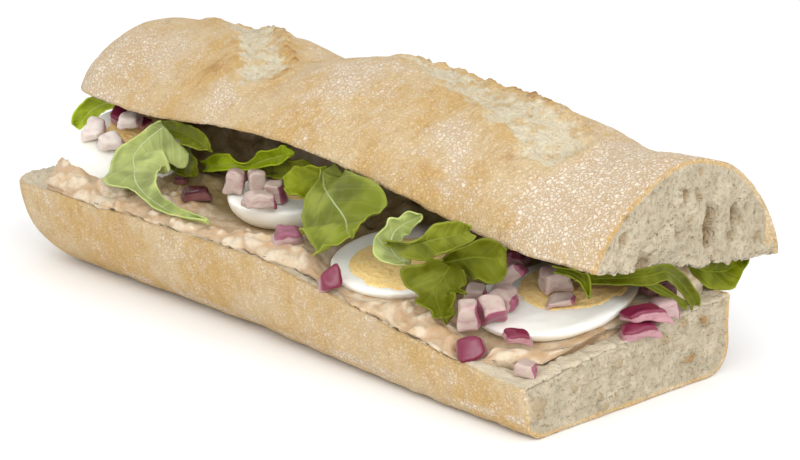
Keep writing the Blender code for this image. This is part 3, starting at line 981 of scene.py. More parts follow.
@dataclass(frozen=True)
class Bread:
    """One half of the baguette: a skin of sections along X, and the cut end's crumb."""

    start: float = ROUND_X
    end_length: float = 26.0
    end_rows: int = 26
    body_rows: int = 196
    columns: int = 150
    cut_rows: int = 52
    tip_rows: int = 16
    holes: tuple[Hole, ...] = ()
    crusted: tuple[Hole, ...] = ()
    pit_sizes: tuple[tuple[float, float, float], ...] = (
        (9.0, 0.22, 2.4),
        (4.6, 0.34, 1.4),
        (2.6, 0.50, 0.8),
        (1.7, 0.50, 0.45),
    )
    deepest_pit: float = 0.6
    wrinkle: float = 2.6
    tear: float = 4.0
    seed: int = 3
    shaded: float = 0.0

    def stations(self) -> list[float]:
        """Returns places along X: close together round the natural end, then even up to the cut."""
        turns = [math.pi / 2 * i / self.end_rows for i in range(1, self.end_rows)]
        ends = [self.start + self.end_length * (1 - math.cos(turn)) for turn in turns]
        return ends + list(np.linspace(self.start + self.end_length, CUT_X, self.body_rows))

    def outline(self, x: float) -> Section:
        """Returns the crust's and the cut's places at x, and torn and flour along the crust."""
        raise NotImplementedError

    def face(self, name: str, x: float, rows: int) -> bpy.types.Object:
        """Closes one end of the skin.

        Args:
            name: the bread's name.
            x: place of the end along the bread.
            rows: rows of points from the cut to the crust.

        Returns:
            The end's face, which carries its crumb marks where it is the cut end.
        """
        crust, cut, *_ = self.outline(x)
        steps = np.linspace(0.0, 1.0, rows)[:, None, None]
        places = np.array(cut)[None] * (1 - steps) + np.array(crust)[None] * steps
        face = sheet(f"{name}_end", places)
        if x > 0:
            flat = places.reshape(-1, 3)
            lines = [np.array(line)[None, ::2] for line in (crust, cut)]
            away, inner = (
                np.linalg.norm(flat[:, None] - line, axis=2).min(axis=1) for line in lines
            )
            crumb = soft_steps(away, 0.2, 2.4)
            for patch in self.crusted:
                crumb = crumb * (1 - patch.pit(flat))
            mark(face, "crumb", crumb)
            mark(face, "end", soft_steps(away, 0.2, 1.2) * soft_steps(inner, 0.0, 1.6))
        return face

    def skin(self, name: str) -> bpy.types.Object:
        """Makes the closed half of the bread with its marks.

        Args:
            name: the piece's name.

        Returns:
            The bread, smooth, before its fine relief.
        """
        rows, crumbs, torn, flour = [], [], [], []
        stations = self.stations()
        for x in stations:
            crust, cut, ripped, dusted = self.outline(x)
            rows.append(crust + cut[::-1])
            line = np.array(cut)
            rim = np.minimum(*(np.linalg.norm(line - end, axis=1) for end in (line[0], line[-1])))
            crumbs.append(np.concatenate([np.zeros(len(crust)), soft_steps(rim, 0.8, 1.8)[::-1]]))
            torn.append(ripped + [0.0] * len(cut))
            flour.append(dusted + [0.0] * len(cut))
        body = sheet(name, np.array(rows))
        for key, values in (("crumb", crumbs), ("torn", torn), ("flour", flour)):
            mark(body, key, np.array(values))
        tips = ((stations[-1], self.cut_rows), (stations[0], self.tip_rows))
        return join([body, *(self.face(name, x, rows) for x, rows in tips)], name)

    def air(self, grain: Grain, places: np.ndarray) -> tuple[np.ndarray, np.ndarray]:
        """Finds the air holes of the crumb.

        Args:
            grain: the unevenness to draw from.
            places: the bread's points in millimetres.

        Returns:
            How far inside a hole each point is, from 0 to 1, and the hole's depth there.
        """
        warped = grain.wander(places, 3.0, 0.9, 50.0)
        pits, depth = np.zeros(len(places)), np.zeros(len(places))
        for size, share, deep in self.pit_sizes:
            pit = grain.pits(warped, size, share)
            pits = np.maximum(pits, pit * min(self.deepest_pit, 0.5 * deep))
            depth = np.maximum(depth, pit * deep)
        for hole in self.holes:
            pit = hole.pit(warped) * (places[:, 0] > CUT_X - 7.5)
            pits = np.maximum(pits, pit)
            depth = np.maximum(depth, pit * hole.depth)
        return pits, depth

    def crumble(self, made: bpy.types.Object) -> None:
        """Gives the crust its wrinkles and torn dough, and the cut surfaces their air holes.

        Args:
            made: the bread, smooth, with its marks.
        """
        grain, places = Grain(self.seed), points(made)
        crumb, torn, end = (marks(made, name) for name in ("crumb", "torn", "end"))
        along = places @ np.array([[0.85, 0.10, 0.0], [-0.28, 0.24, 0.0], [0.0, 0.0, 0.30]])
        wrinkle = grain.layered(along, self.wrinkle, 2) * 0.22 + grain.smooth(places, 9.0) * 0.30
        aslant = places @ np.array([[0.55, 0.4, 0.0], [0.4, 1.2, 0.0], [0.0, 0.0, 1.0]])
        rip = grain.ridges(aslant, self.tear, 3) * 1.3 - 0.7
        pits, depth = self.air(grain, places)
        soft = crumb * (0.35 + 0.65 * end)
        ragged = 0.55 + 0.5 * soft_steps(-places[:, 0], 88.0, 100.0)
        ragged = crumb * grain.layered(places, 3.0, 3) * ragged
        height = (wrinkle * (1 - crumb)) * (1 - 0.7 * torn) + rip * soft_steps(torn, 0.45, 0.90)
        raise_points(made, height + ragged - soft * depth)
        mark(made, "pit", pits * crumb)
        mark(made, "shade", crumb * (1 - soft_steps(places[:, 0], 113.5, 117.0)) * self.shaded)


@dataclass(frozen=True)
class TopBread(Bread):
    """The top half: a domed crust with two torn slashes, cut flat below and straight at one end."""

    front: float = -16.0
    width: float = 78.6
    tilt: float = 7.1
    edge_height: float = 52.1
    edge_drop: float = 12.8
    start: float = ROUND_X - 3.0
    end_length: float = 24.0
    dome_height: float = 25.4
    pivot: float = 8.0
    scores: tuple[Score, ...] = (
        Score((-88.0, 0.62), (-37.0, 0.23), 7.5),
        Score((8.0, 0.58), (80.0, 0.29), 8.5),
    )
    dusts: tuple[Dust, ...] = (
        Dust(-104.0, 0.10, 20.0, 0.22, 0.9),
        Dust(-82.0, 0.18, 13.0, 0.08, 0.7),
        Dust(-42.0, 0.08, 7.0, 0.05, 0.7),
        Dust(-56.0, 0.16, 11.0, 0.06, -0.45),
        Dust(0.0, 0.26, 13.0, 0.13, 1.1),
        Dust(50.0, 0.18, 7.0, 0.06, 1.0),
        Dust(61.0, 0.08, 9.0, 0.06, 0.5),
        Dust(75.0, 0.17, 9.0, 0.06, -0.5),
        Dust(27.0, 0.30, 8.0, 0.06, -0.3),
        Dust(100.0, 0.12, 16.0, 0.14, 1.0),
        Dust(108.0, 0.45, 22.0, 0.32, 2.5),
        Dust(-8.0, 0.75, 40.0, 0.25, 0.6),
    )

    def edge(self, x: float) -> float:
        """Returns the height of the lower front edge."""
        fall = smoothstep((x - 8.5) / 90.0)
        sway = 1.4 * math.sin((x + 46.5) * math.tau / 110.0) * (1 - fall)
        return self.edge_height - self.edge_drop * fall + sway

    def dome(self, x: float) -> float:
        """Returns the dome's height above the cut plane: two humps with a waist between them."""
        humps = 3.0 * hump(x + 74.0, 24.0) + 4.0 * hump(x - 68.0, 23.0)
        waist = 4.8 * hump(x + 29.0, 15.0)
        return self.dome_height + humps - waist + 2.7 * smoothstep((x - 85.0) / 30.0)

    def place(self, x: float, across: float, rise: float) -> Place:
        """Finds a place on a section.

        Args:
            x: place along the bread.
            across: share of the width, from front to back.
            rise: height above the cut plane.

        Returns:
            The place, drawn in round the natural end and tilted as the lid is.
        """
        share = 0.42 + 0.58 * end_share(x, self.start, self.end_length, 3.0)
        tilt = math.radians(self.tilt)
        along = self.width * (0.5 + (across - 0.5) * share)
        rise = self.pivot + (rise - self.pivot) * share
        return (
            x,
            self.front + along * math.cos(tilt) + rise * math.sin(tilt),
            self.edge(x) - along * math.sin(tilt) + rise * math.cos(tilt),
        )

    def flour(self, x: float, across: float) -> float:
        """Returns how much flour lies on the crust there."""
        return sum(dust.share(x, across) for dust in self.dusts)

    def torn_edge(self, x: float, across: float) -> tuple[float, float]:
        """Looks for the nearest slash.

        Args:
            x: place along the bread.
            across: share of the width.

        Returns:
            The ragged distance from its middle line in its widths, and how craggy its lip is there.
        """
        score = min(self.scores, key=lambda s: s.away(x, across, self.width))
        y = across * 70.0
        away = score.away(x, across, self.width)
        away += 0.30 * rough(x, y, 5.0, 6.0) + 0.12 * rough(x, y, 8.0, 2.4)
        y = across * 80.0
        crag = 0.6 * abs(rough(x, y, 2.0, 3.4)) + 0.5 * max(0.0, rough(x, y, 4.0, 1.6))
        lip = 1.0 if score.beyond(x, across, self.width) else 0.25
        return away, crag * (lip * hump(away - score.lip, 0.35))

    def outline(self, x: float) -> Section:
        """Draws one section.

        Args:
            x: its place along the bread.

        Returns:
            The crust's and the cut's places from front to back, and torn and flour along the crust.
        """
        crust, cut, torn, flour = [], [], [], []
        ragged = smoothstep((x - 96.0) / 18.0)
        for i in range(self.columns + 1):
            even = i / self.columns
            across = 0.5 * even + 0.5 * (0.5 - 0.5 * math.cos(math.pi * even))
            bow = (1 - (2 * across - 1) ** 2) ** 0.75
            away, crag = self.torn_edge(x, across)
            rise = self.dome(x) * bow + self.scores[0].relief(away) * bow
            rise += (0.8 * rough(x, across * 70.0, 9.0, 15.0) + 2.6 * crag) * bow
            crust.append(self.place(x, across, rise))
            side = min(across, 1 - across)
            below = 0.9 * rough(x, across * 70.0, 21.0, 9.0) * side * 4
            notch = abs(rough(x, across * 80.0, 3.0, 4.2)) * min(side * 9.0, 1.0)
            below -= ragged * 2.4 * notch
            cut.append(self.place(x, across, below))
            torn.append(1 - smoothstep((away - 0.35) / 1.25))
            flour.append(self.flour(x, across) - 1.5 * crag)
        return crust, cut, torn, flour

    def build(self, finish: bpy.types.Material) -> None:
        """Makes and dresses the top half.

        Args:
            finish: the bread's material.
        """
        made = self.skin("top_bread")
        self.crumble(made)
        dress(made, finish, "crust", "bread_lid")


@dataclass(frozen=True)
class BottomBread(Bread):
    """The bottom half: a trough of crust round a crumb that the filling presses down."""

    front: float = -42.0
    back: float = 40.5
    height: float = 26.6
    front_drop: float = 12.0
    back_drop: float = 4.0
    lean: float = 3.0
    hollow: float = 5.5
    underside: float = 0.8

    def rim(self, x: float, y: float) -> float:
        """Finds the height of the cut edge, which falls towards the cut end, most of all in front.

        Args:
            x: place along the bread.
            y: place across it.

        Returns:
            The height in millimetres.
        """
        fall = smoothstep((x - 3.5) / 115.0)
        back = min(max((y - self.front) / (self.back - self.front), 0.0), 1.0)
        drop = self.front_drop + (self.back_drop - self.front_drop) * back
        return self.height - drop * fall + 0.8 * rough(x, y, 3.0, 14.0)

    def crumb(self, x: float, y: float) -> float:
        """Returns the height of the cut surface, pressed down inside the rim."""
        inside = smoothstep((y - self.front - 4.0) / 8.0) * smoothstep((self.back - 7.0 - y) / 10.0)
        along = smoothstep((x - ROUND_X - 12.0) / 14.0) * smoothstep((114.0 - x) / 24.0)
        return self.rim(x, y) - self.hollow * inside * along

    def outline(self, x: float) -> Section:
        """Draws one section.

        Args:
            x: its place along the bread.

        Returns:
            The crust's and the cut's places from front to back, and torn and flour along the crust.
        """
        share = end_share(x, self.start, self.end_length, 2.2)
        wide = 0.62 + 0.38 * end_share(x, self.start, 16.0, 2.2)
        square = 4.0 + 3.5 * smoothstep((x + 20.0) / 120.0)
        middle, half = (self.front + self.back) / 2, (self.back - self.front) / 2
        crust, flour = [], []
        for i in range(self.columns + 1):
            angle = math.pi + math.pi * i / self.columns
            level, down = math.cos(angle), abs(math.sin(angle))
            reach = (abs(level) ** square + down ** square) ** (-1 / square)
            across, depth = level * reach, down * reach
            y = middle + half * across
            top = self.crumb(x, y)
            z = top - (top + self.underside) * depth
            if across < 0:
                y += self.lean * depth * -across
            y += 0.7 * rough(x, y, z, 17.0) * (1 - 0.5 * depth) * across
            y = middle + (y - middle) * wide
            z = top - (top - z) * share
            crust.append((x, y, max(z, 0.0)))
            seam = hump(z - 5.2 - 1.0 * rough(x, 0.0, 8.0, 22.0), 0.9)
            seam *= smoothstep((x + 70.0) / 20.0)
            flour.append(0.12 + 1.6 * seam * smoothstep(0.5 + 2.0 * rough(x, 4.0, 0.0, 9.0)))
        first, last = crust[0][1], crust[-1][1]
        widths = [first + (last - first) * i / self.columns for i in range(self.columns + 1)]
        cut = [(x, y, self.crumb(x, y)) for y in widths]
        return crust, cut, [0.0] * len(crust), flour

    def build(self, finish: bpy.types.Material) -> None:
        """Makes and dresses the bottom half.

        Args:
            finish: the bread's material.
        """
        made = self.skin("bottom_bread")
        self.crumble(made)
        places = points(made)
        places[:, 2] = np.maximum(places[:, 2], 0.0)
        move_points(made, places)
        dress(made, finish, "crust", "bread_base")


# The filling


@dataclass(frozen=True)
class TunaSpread:
    """The tuna spread on the crumb: lumpy, folded, and piled up near the natural end."""

    bread: BottomBread
    front: float = -41.3
    back: float = 36.0
    tuck: float = 6.5
    depth: float = 4.6
    start: float = -104.0
    end: float = 111.5
    steps: int = 270
    above: int = 110
    below: int = 5
    sunk: float = 7.0
    ridge: float = 24.0
    ridge_height: float = 11.5
    seed: int = 11

    def front_edge(self, x: float) -> float:
        """Finds where the spread ends in front.

        Args:
            x: place along the bread.

        Returns:
            The place across the bread in millimetres.
        """
        wander = 0.8 * rough(x, 0.0, 40.0, 22.0) + 0.5 * rough(x, 0.0, 44.0, 5.0)
        wander += 2.4 * hump(x - 36.0, 15.0)
        near = 14.0 * smoothstep((x - 92.0) / 22.0)
        far = 16.0 * smoothstep((-x - 92.0) / 16.0)
        return self.front + wander + near + far

    def section(self, x: float) -> list[Place]:
        """Draws one section.

        Args:
            x: its place along the bread.

        Returns:
            A closed ring of places: over the top from front to back, and back inside the crumb.
        """
        front = self.front_edge(x)
        wide = self.back - front
        share = end_share(x, self.start, 14.0, 2.0) * smoothstep((self.end + 5.0 - x) / 12.0)
        share = 0.25 + 0.75 * share
        thick = self.depth + 6.5 * hump(x + 97.0, 19.0) + 1.0 * rough(x, 0.0, 55.0, 30.0)
        ring = []
        for i in range(self.above + 1):
            y = front + wide * (0.5 - 0.5 * math.cos(math.pi * i / self.above))
            rise = (1 - (2 * (y - front) / wide - 1) ** 6) ** 0.5
            depth = thick * share * rise
            piled = self.ridge_height * hump(y - self.ridge, 11.0)
            depth += share * (piled + 1.6 * hump(y - front - 6.0, 5.0))
            dip = smoothstep((y - front - 8.0) / 6.0) * smoothstep((8.0 - y) / 12.0)
            depth -= 2.6 * hump(x + 14.0, 26.0) * dip
            lumps = 2.1 * rough(x, y, 60.0, 7.5) + 1.1 * rough(x, y, 70.0, 4.0)
            ring.append((x, y, self.bread.rim(x, y) + max(depth + lumps * rise * share, 0.8)))
        for i in range(self.below):
            y = self.back + (front + self.tuck - self.back) * i / (self.below - 1)
            ring.append((x, y, self.bread.rim(x, y) - self.sunk))
        ring.append(ring[0])
        return ring

    def build(self, finish: bpy.types.Material) -> None:
        """Makes the spread, closes its ends, folds it and dresses it.

        Args:
            finish: the spread's material.
        """
        rings = [self.section(x) for x in np.linspace(self.start, self.end, self.steps)]
        body = sheet("tuna_spread", np.array(rings))
        ends = []
        for ring in (rings[0], rings[-1]):
            middle = np.mean(np.array(ring[:-1]), axis=0)
            steps = np.linspace(0.0, 1.0, 4)[:, None, None]
            ends.append(sheet("tuna_end", np.array(ring)[None] * (1 - steps) + middle * steps))
        made = join([body, *ends], "tuna_spread")
        self.fold(made)
        dress(made, finish, "tuna_spread", "spread")

    def fold(self, made: bpy.types.Object) -> None:
        """Gives the spread its lumps and folds, and presses it down under eggs and onion.

        Args:
            made: the spread, smooth.
        """
        grain = Grain(self.seed)
        places, facing = points(made), normals(made)
        warped = grain.wander(places, 9.0, 3.0, 40.0)
        blobs = grain.pits(warped * np.array([0.62, 1.1, 1.0]), 7.5, 1.0)
        small = grain.pits(warped * np.array([0.75, 1.0, 1.0]) + 9.0, 4.2, 1.0)
        up = soft_steps(facing[:, 2], -0.4, 0.2)
        calm = 1 - 0.7 * soft_steps(places[:, 0], 98.0, 108.0)
        fine = 0.55 * grain.layered(places, 3.2, 3) + 0.35 * grain.ridges(warped, 5.0, 3)
        height = up * calm * (1.5 * blobs + 0.9 * small - 1.2 + fine)
        places = places + facing * height[:, None]
        pressed = places
        for egg in EGGS:
            pressed = egg.clear(pressed)
        in_front = 1 - soft_steps(places[:, 1:2], self.ridge - 4.0, self.ridge + 2.0)
        places = places + (pressed - places) * in_front
        for die in ONIONS:
            places = die.clear(places)
        move_points(made, places)
        # dip: where painted shade goes, between the lumps.
        mark(made, "dip", np.clip(0.75 - 0.9 * blobs - 0.8 * small, 0.0, 1.0))
        # deep: painted shade behind the front lumps, under the lid.
        deep = soft_steps(places[:, 1], -25.0, -12.0) * soft_steps(-places[:, 1], -26.0, -14.0)
        mark(made, "deep", 0.8 * deep * soft_steps(-places[:, 0], -100.0, -60.0))


@dataclass(frozen=True)
class Egg:
    """A thick slice of boiled egg with its cut face up: place is the middle of that face."""

    place: Place
    turn: Place
    length: float = 50.0
    width: float = 40.0
    depth: float = 12.0
    yolk: float = 27.0
    yolk_offset: float = 2.5
    yolk_side: float = 0.0
    bare: float = 1.5
    dim_from: float = 1.0
    points_round: int = 84

    def clear(self, places: np.ndarray) -> np.ndarray:
        """Presses the spread down under the slice, and beside it as deep as its side is bare.

        Args:
            places: the spread's points in millimetres.

        Returns:
            The points, none of them over the slice.
        """
        matrix = np.array(placing(self.place, self.turn))
        local = (places - matrix[:3, 3]) @ matrix[:3, :3]
        share = np.hypot(2 * local[:, 0] / self.length, 2 * local[:, 1] / self.width)
        over = np.maximum(local[:, 2] + self.bare, 0.0) * (local[:, 2] < 14.0)
        local[:, 2] -= over * (1 - soft_steps(share, 1.05, 1.0 + 0.10 * (1 + self.bare)))
        return local @ matrix[:3, :3].T + matrix[:3, 3]

    def loop(self, share: float, height: float, count: int) -> list[Place]:
        """Draws a ring of the egg's own outline, blunt at one end.

        Args:
            share: the ring's size as a share of the outline.
            height: its height above the cut face.
            count: number of steps round it.

        Returns:
            The ring's places, the first one again at the end.
        """
        ring = []
        for j in range(count + 1):
            angle = math.tau * j / count
            across = math.sin(angle) * self.width / 2 * share * (1 - 0.1 * math.cos(angle))
            ring.append((math.cos(angle) * self.length / 2 * share, across, height))
        return ring

    def rounded(self, name: str, profile: Sequence[tuple[float, float]], middle: float,
                size: tuple[float, float] | None = None) -> bpy.types.Object:
        """Makes a round body from a profile.

        Args:
            name: the piece's name.
            profile: pairs of a share of the outline and a height, from the middle below to the
                middle above.
            middle: shift of the upper middle along the egg.
            size: half length and half width of a round body, or the egg's own outline.

        Returns:
            The body in its place in the sandwich.
        """
        count = self.points_round
        matrix = placing(self.place, self.turn)
        rings = []
        for share, height in profile:
            if size is None:
                ring = self.loop(share, height, count)
            else:
                ring = [(middle + size[0] * share * math.cos(math.tau * j / count),
                         self.yolk_side + size[1] * share * math.sin(math.tau * j / count), height)
                        for j in range(count + 1)]
            rings.append([tuple(matrix @ Vector(p)) for p in ring])
        return join([sheet(name, np.array(rings))], name)

    def complete(self, made: bpy.types.Object, relief: np.ndarray, finish: bpy.types.Material,
                 slot: str, node: str) -> None:
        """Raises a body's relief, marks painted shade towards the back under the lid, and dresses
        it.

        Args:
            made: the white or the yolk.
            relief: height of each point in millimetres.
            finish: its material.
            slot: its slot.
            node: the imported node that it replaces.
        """
        raise_points(made, relief)
        # Painted shade, stronger towards the back where the lid covers the slice.
        depth = soft_steps(points(made)[:, 1], self.dim_from, self.dim_from + 7.0)
        mark(made, "shade", 0.85 * depth)
        dress(made, finish, slot, node)

    def build(self, number: int, white: bpy.types.Material, yellow: bpy.types.Material) -> None:
        """Makes and dresses the white and the yolk of one slice.

        Args:
            number: the slice's number from the natural end.
            white: material of the white.
            yellow: material of the yolk.
        """
        grain = Grain(20 + number)
        curve = [(math.sin(t) ** 0.8, -self.depth * (0.10 + 0.90 * math.cos(t))) for t in
                 np.linspace(0.0, math.pi / 2, 22)]
        edge = [(1.0 - 0.10 * (1 - math.cos(t)), -0.10 * self.depth * (1 - math.sin(t)))
                for t in np.linspace(0.2, math.pi / 2, 7)]
        top = [(share, 0.0) for share in np.linspace(0.88, 0.0, 24)]
        made = self.rounded(f"egg_{number}_white", curve + edge + top, 0.0)
        dimples = grain.layered(points(made), 6.0, 3) * 0.18
        self.complete(made, dimples, white, "egg_white", f"egg_white_{number}")
        half = self.yolk / 2
        rim = [(0.0, -1.4), (0.9, -1.2), (1.02, -0.3), (1.0, 0.05), (0.97, 0.2)]
        top = [(share, 0.3 + 0.35 * math.cos(share * math.pi / 2))
               for share in np.linspace(0.94, 0.0, 32)]
        made = self.rounded(f"egg_{number}_yolk", rim + top, self.yolk_offset, (half, half * 0.96))
        places = points(made)
        crumbs = grain.ridges(places, 2.4, 3) * 0.5 - 0.3 + grain.pits(places, 3.1, 0.4) * -0.4
        crumbs = np.maximum(crumbs, -0.22)
        self.complete(made, crumbs, yellow, "egg_yolk", f"egg_yolk_{number}")


@dataclass(frozen=True)
class Leaf:
    """A rocket leaf along its rib, with half widths to both sides, curled edges and side veins."""

    rib: tuple[Place, ...]
    left: tuple[float, ...]
    right: tuple[float, ...]
    face: Place
    end_face: Place
    tone: LeafTone = LeafTone.FACE
    curl: float = 1.5
    wave: float = 0.7
    rows: int = 72
    columns: int = 24
    thickness: float = 0.45
    vein_step: float = 5.2
    vein_slant: float = 0.9
    quilt: float = 0.70
    groove: float = 0.25

    def length(self) -> float:
        """Returns the rib's length."""
        return sum((Vector(b) - Vector(a)).length for a, b in zip(self.rib, self.rib[1:]))

    def bearing(self, t: float) -> tuple[Vector, Vector, Vector]:
        """Finds how the leaf lies.

        Args:
            t: share of the rib.

        Returns:
            The rib's place, the direction to the leaf's left, and the way that the leaf faces.
        """
        tangent = curve_point(self.rib, min(t + 0.02, 1)) - curve_point(self.rib, max(t - 0.02, 0))
        tangent.normalize()
        face = Vector(self.face).normalized().lerp(Vector(self.end_face).normalized(), t)
        side = face.cross(tangent).normalized()
        return curve_point(self.rib, t), side, tangent.cross(side).normalized()

    def width(self, number: int, t: float, along: float, u: float) -> float:
        """Finds the leaf's ragged half width.

        Args:
            number: the leaf's number, which draws its raggedness.
            t: share of the rib.
            along: distance along the rib.
            u: side, from -1 for the right edge to 1 for the left.

        Returns:
            The half width on that side in millimetres.
        """
        width = max(curve_value(self.left if u > 0 else self.right, t), 0.05)
        ragged = 0.22 * rough(along, 9.0 * (u > 0), number * 7.0, 1.8)
        ragged += 0.75 * rough(along, 5.0 * (u > 0), number * 9.0, 5.5)
        return width + ragged * min(width / 3, 1.0)

    def lift(self, number: int, t: float, along: float, u: float, width: float) -> float:
        """Finds how far the leaf rises from flat: curl, waves, the rib's groove and side quilts.

        Args:
            number: the leaf's number, which draws its unevenness.
            t: share of the rib.
            along: distance along the rib.
            u: side, from -1 for the right edge to 1 for the left.
            width: half width there.

        Returns:
            The height in millimetres.
        """
        across = u * width
        lift = self.curl * u * u + self.wave * u * u * math.sin(17.0 * t + 2.5 * u)
        lift += 0.25 * rough(along, across, number * 5.0, 3.2)
        lift += 1.5 * rough(along, across, number * 11.0, 10.0) * min(width / 5, 1.0)
        lift -= self.groove * hump(across, 0.9)
        vein = (along - self.vein_slant * abs(across)) / self.vein_step
        return lift + self.quilt * abs(math.sin(math.pi * vein)) * min(width / 6, 1.0)

    def build(self, number: int, finish: bpy.types.Material) -> None:
        """Makes and dresses one leaf.

        Args:
            number: the leaf's number from the natural end.
            finish: its material.
        """
        places, readings = [], []
        length = self.length()
        for i in range(self.rows + 1):
            t = i / self.rows
            along = t * length
            centre, side, normal = self.bearing(t)
            row = []
            for j in range(self.columns + 1):
                u = 2 * j / self.columns - 1
                width = self.width(number, t, along, u)
                lift = self.lift(number, t, along, u, width)
                row.append(tuple(centre + side * width * u + normal * lift))
                vein = (along - self.vein_slant * abs(width * u)) / self.vein_step
                # margin: where the painted highlight along the edges and at the tip goes.
                margin = min(abs(u) ** 6 + smoothstep((t - 0.94) / 0.06), 1.0)
                readings.append((width * u, vein, t, margin))
            places.append(row)
        made = sheet(f"rocket_{number}", np.array(places))
        for name, values in zip(("rib", "side", "far", "margin"), np.array(readings).T):
            mark(made, name, values)
        apply(made, "SOLIDIFY", thickness=self.thickness * MM, offset=0.0)
        bpy.ops.object.shade_smooth()
        dress(made, finish, "rocket", f"rocket_leaf_{number}")


class SkinSide(Enum):
    """Where a piece of onion has its skin: above, on a narrow side, or round its edge."""

    ABOVE = "above"
    BESIDE = "beside"
    ROUND = "round"


@dataclass(frozen=True)
class Die:
    """A piece of chopped onion: a curved, rounded block of one layer."""

    place: Place
    size: Place
    turn: Place
    tone: OnionTone = OnionTone.PALE
    skin: SkinSide = SkinSide.BESIDE
    bend: float = 14.0
    taper: float = 0.82
    bevel: float = 0.19
    uneven: float = 0.60

    def clear(self, places: np.ndarray) -> np.ndarray:
        """Presses the spread down under the piece.

        Args:
            places: the spread's points in millimetres.

        Returns:
            The points, none of them over the piece.
        """
        x, y = places[:, 0] - self.place[0], places[:, 1] - self.place[1]
        away = np.hypot(x, y) / max(self.size[:2])
        over = np.maximum(places[:, 2] - self.place[2] + 0.3 * self.size[2], 0.0)
        pressed = places.copy()
        pressed[:, 2] -= over * (1 - soft_steps(away, 0.45, 0.90))
        return pressed

    def redness(self, spots: np.ndarray, lean: float) -> np.ndarray:
        """Finds how much skin there is.

        Args:
            spots: places on the unit block.
            lean: how far the skin side leans.

        Returns:
            A share from 0 to 1 for each place.
        """
        if self.skin is SkinSide.ABOVE:
            return soft_steps(spots[:, 2] + 0.3 * lean * spots[:, 0], -0.05, 0.35)
        if self.skin is SkinSide.ROUND:
            return soft_steps(np.abs(spots[:, :2]).max(axis=1), 0.40, 0.47)
        return soft_steps(spots[:, 0] + 0.2 * lean * spots[:, 1], 0.42, 0.49)

    def block(self, name: str) -> bpy.types.Object:
        """Adds the rounded block that the piece is shaped from.

        Args:
            name: the piece's name.

        Returns:
            A block one metre across.
        """
        deselect()
        bpy.ops.mesh.primitive_cube_add(size=1)
        made = bpy.context.object
        made.name = made.data.name = name
        bpy.ops.object.mode_set(mode="EDIT")
        bpy.ops.mesh.select_all(action="SELECT")
        bpy.ops.mesh.subdivide(number_cuts=2)
        bpy.ops.object.mode_set(mode="OBJECT")
        apply(made, "BEVEL", width=self.bevel, segments=3, limit_method="ANGLE", angle_limit=0.8)
        apply(made, "SUBSURF", levels=2, render_levels=2)
        return made

    def build(self, number: int, finish: bpy.types.Material) -> None:
        """Makes and dresses one piece of onion.

        Args:
            number: the piece's number, which draws how it leans, bulges and wanders.
            finish: its material.
        """
        made = self.block(f"onion_piece_{number}")
        spots = points(made) * MM
        tapered = np.where(spots[:, 2] > 0, self.taper, 1.0)
        narrow = tapered * 0.5 + 0.5 * (1 - 0.18 * spots[:, 2])
        draw = np.random.default_rng(number).uniform(-1.0, 1.0, 4)
        skin = self.redness(spots, draw[3])
        spots[:, 0] += 0.28 * draw[0] * spots[:, 1] + 0.20 * draw[1] * spots[:, 2]
        spots[:, 1] *= 1.0 + 0.5 * draw[2] * spots[:, 0]
        spots[:, 0] *= self.size[0] * narrow
        spots[:, 1] *= self.size[1] * (2 - narrow) ** 0.5
        spots[:, 2] = spots[:, 2] * self.size[2] - spots[:, 0] ** 2 / (2 * self.bend)
        spots = Grain(number).wander(spots, 3.8, self.uneven, 30.0)
        matrix = np.array(placing(self.place, self.turn))
        move_points(made, spots @ matrix[:3, :3].T + matrix[:3, 3])
        mark(made, "skin", skin)
        bpy.ops.object.shade_smooth()
        dress(made, finish, "red_onion", f"onion_{number}")


# Places and sizes of the pieces, from the natural end to the cut end


TOP_HOLES = (
    Hole((31.0, 43.0), (3.0, 7.0), 6.0),
    Hole((41.2, 44.2), (1.7, 3.8), 5.0),
    Hole((20.3, 52.9), (1.3, 2.6), 2.0),
)
TOP_PATCHES = (Hole((57.0, 38.5), (2.6, 7.0), 0.0),)
BOTTOM_HOLES = (
    Hole((27.9, 18.1), (2.0, 1.2), 2.0),
    Hole((23.0, 8.2), (2.8, 1.3), 2.0),
)
TOWARDS = (0.7, -0.66, 0.27)
UPWARDS = (0.45, -0.45, 0.8)

EGGS = (
    Egg((-90.0, -9.5, 37.6), (18.0, 18.0, 118.0), 45.0, 40.0, depth=8.5,
        yolk=23.0, yolk_offset=6.5, bare=0.5),
    Egg((-16.0, -2.0, 34.5), (3.0, 3.0, 100.0), 44.0, 36.0, depth=10.5, yolk=25.0, bare=8.0),
    Egg((47.0, -14.0, 29.0), (8.0, 7.0, 96.0), 46.0, 38.0, depth=6.6,
        yolk=32.0, yolk_offset=-4.0, yolk_side=-2.5, bare=2.5, dim_from=-4.0),
    Egg((92.0, -1.0, 25.8), (11.0, 2.0, 84.0), 50.0, 40.0, depth=6.8,
        yolk=31.0, yolk_offset=6.0, bare=4.0),
)

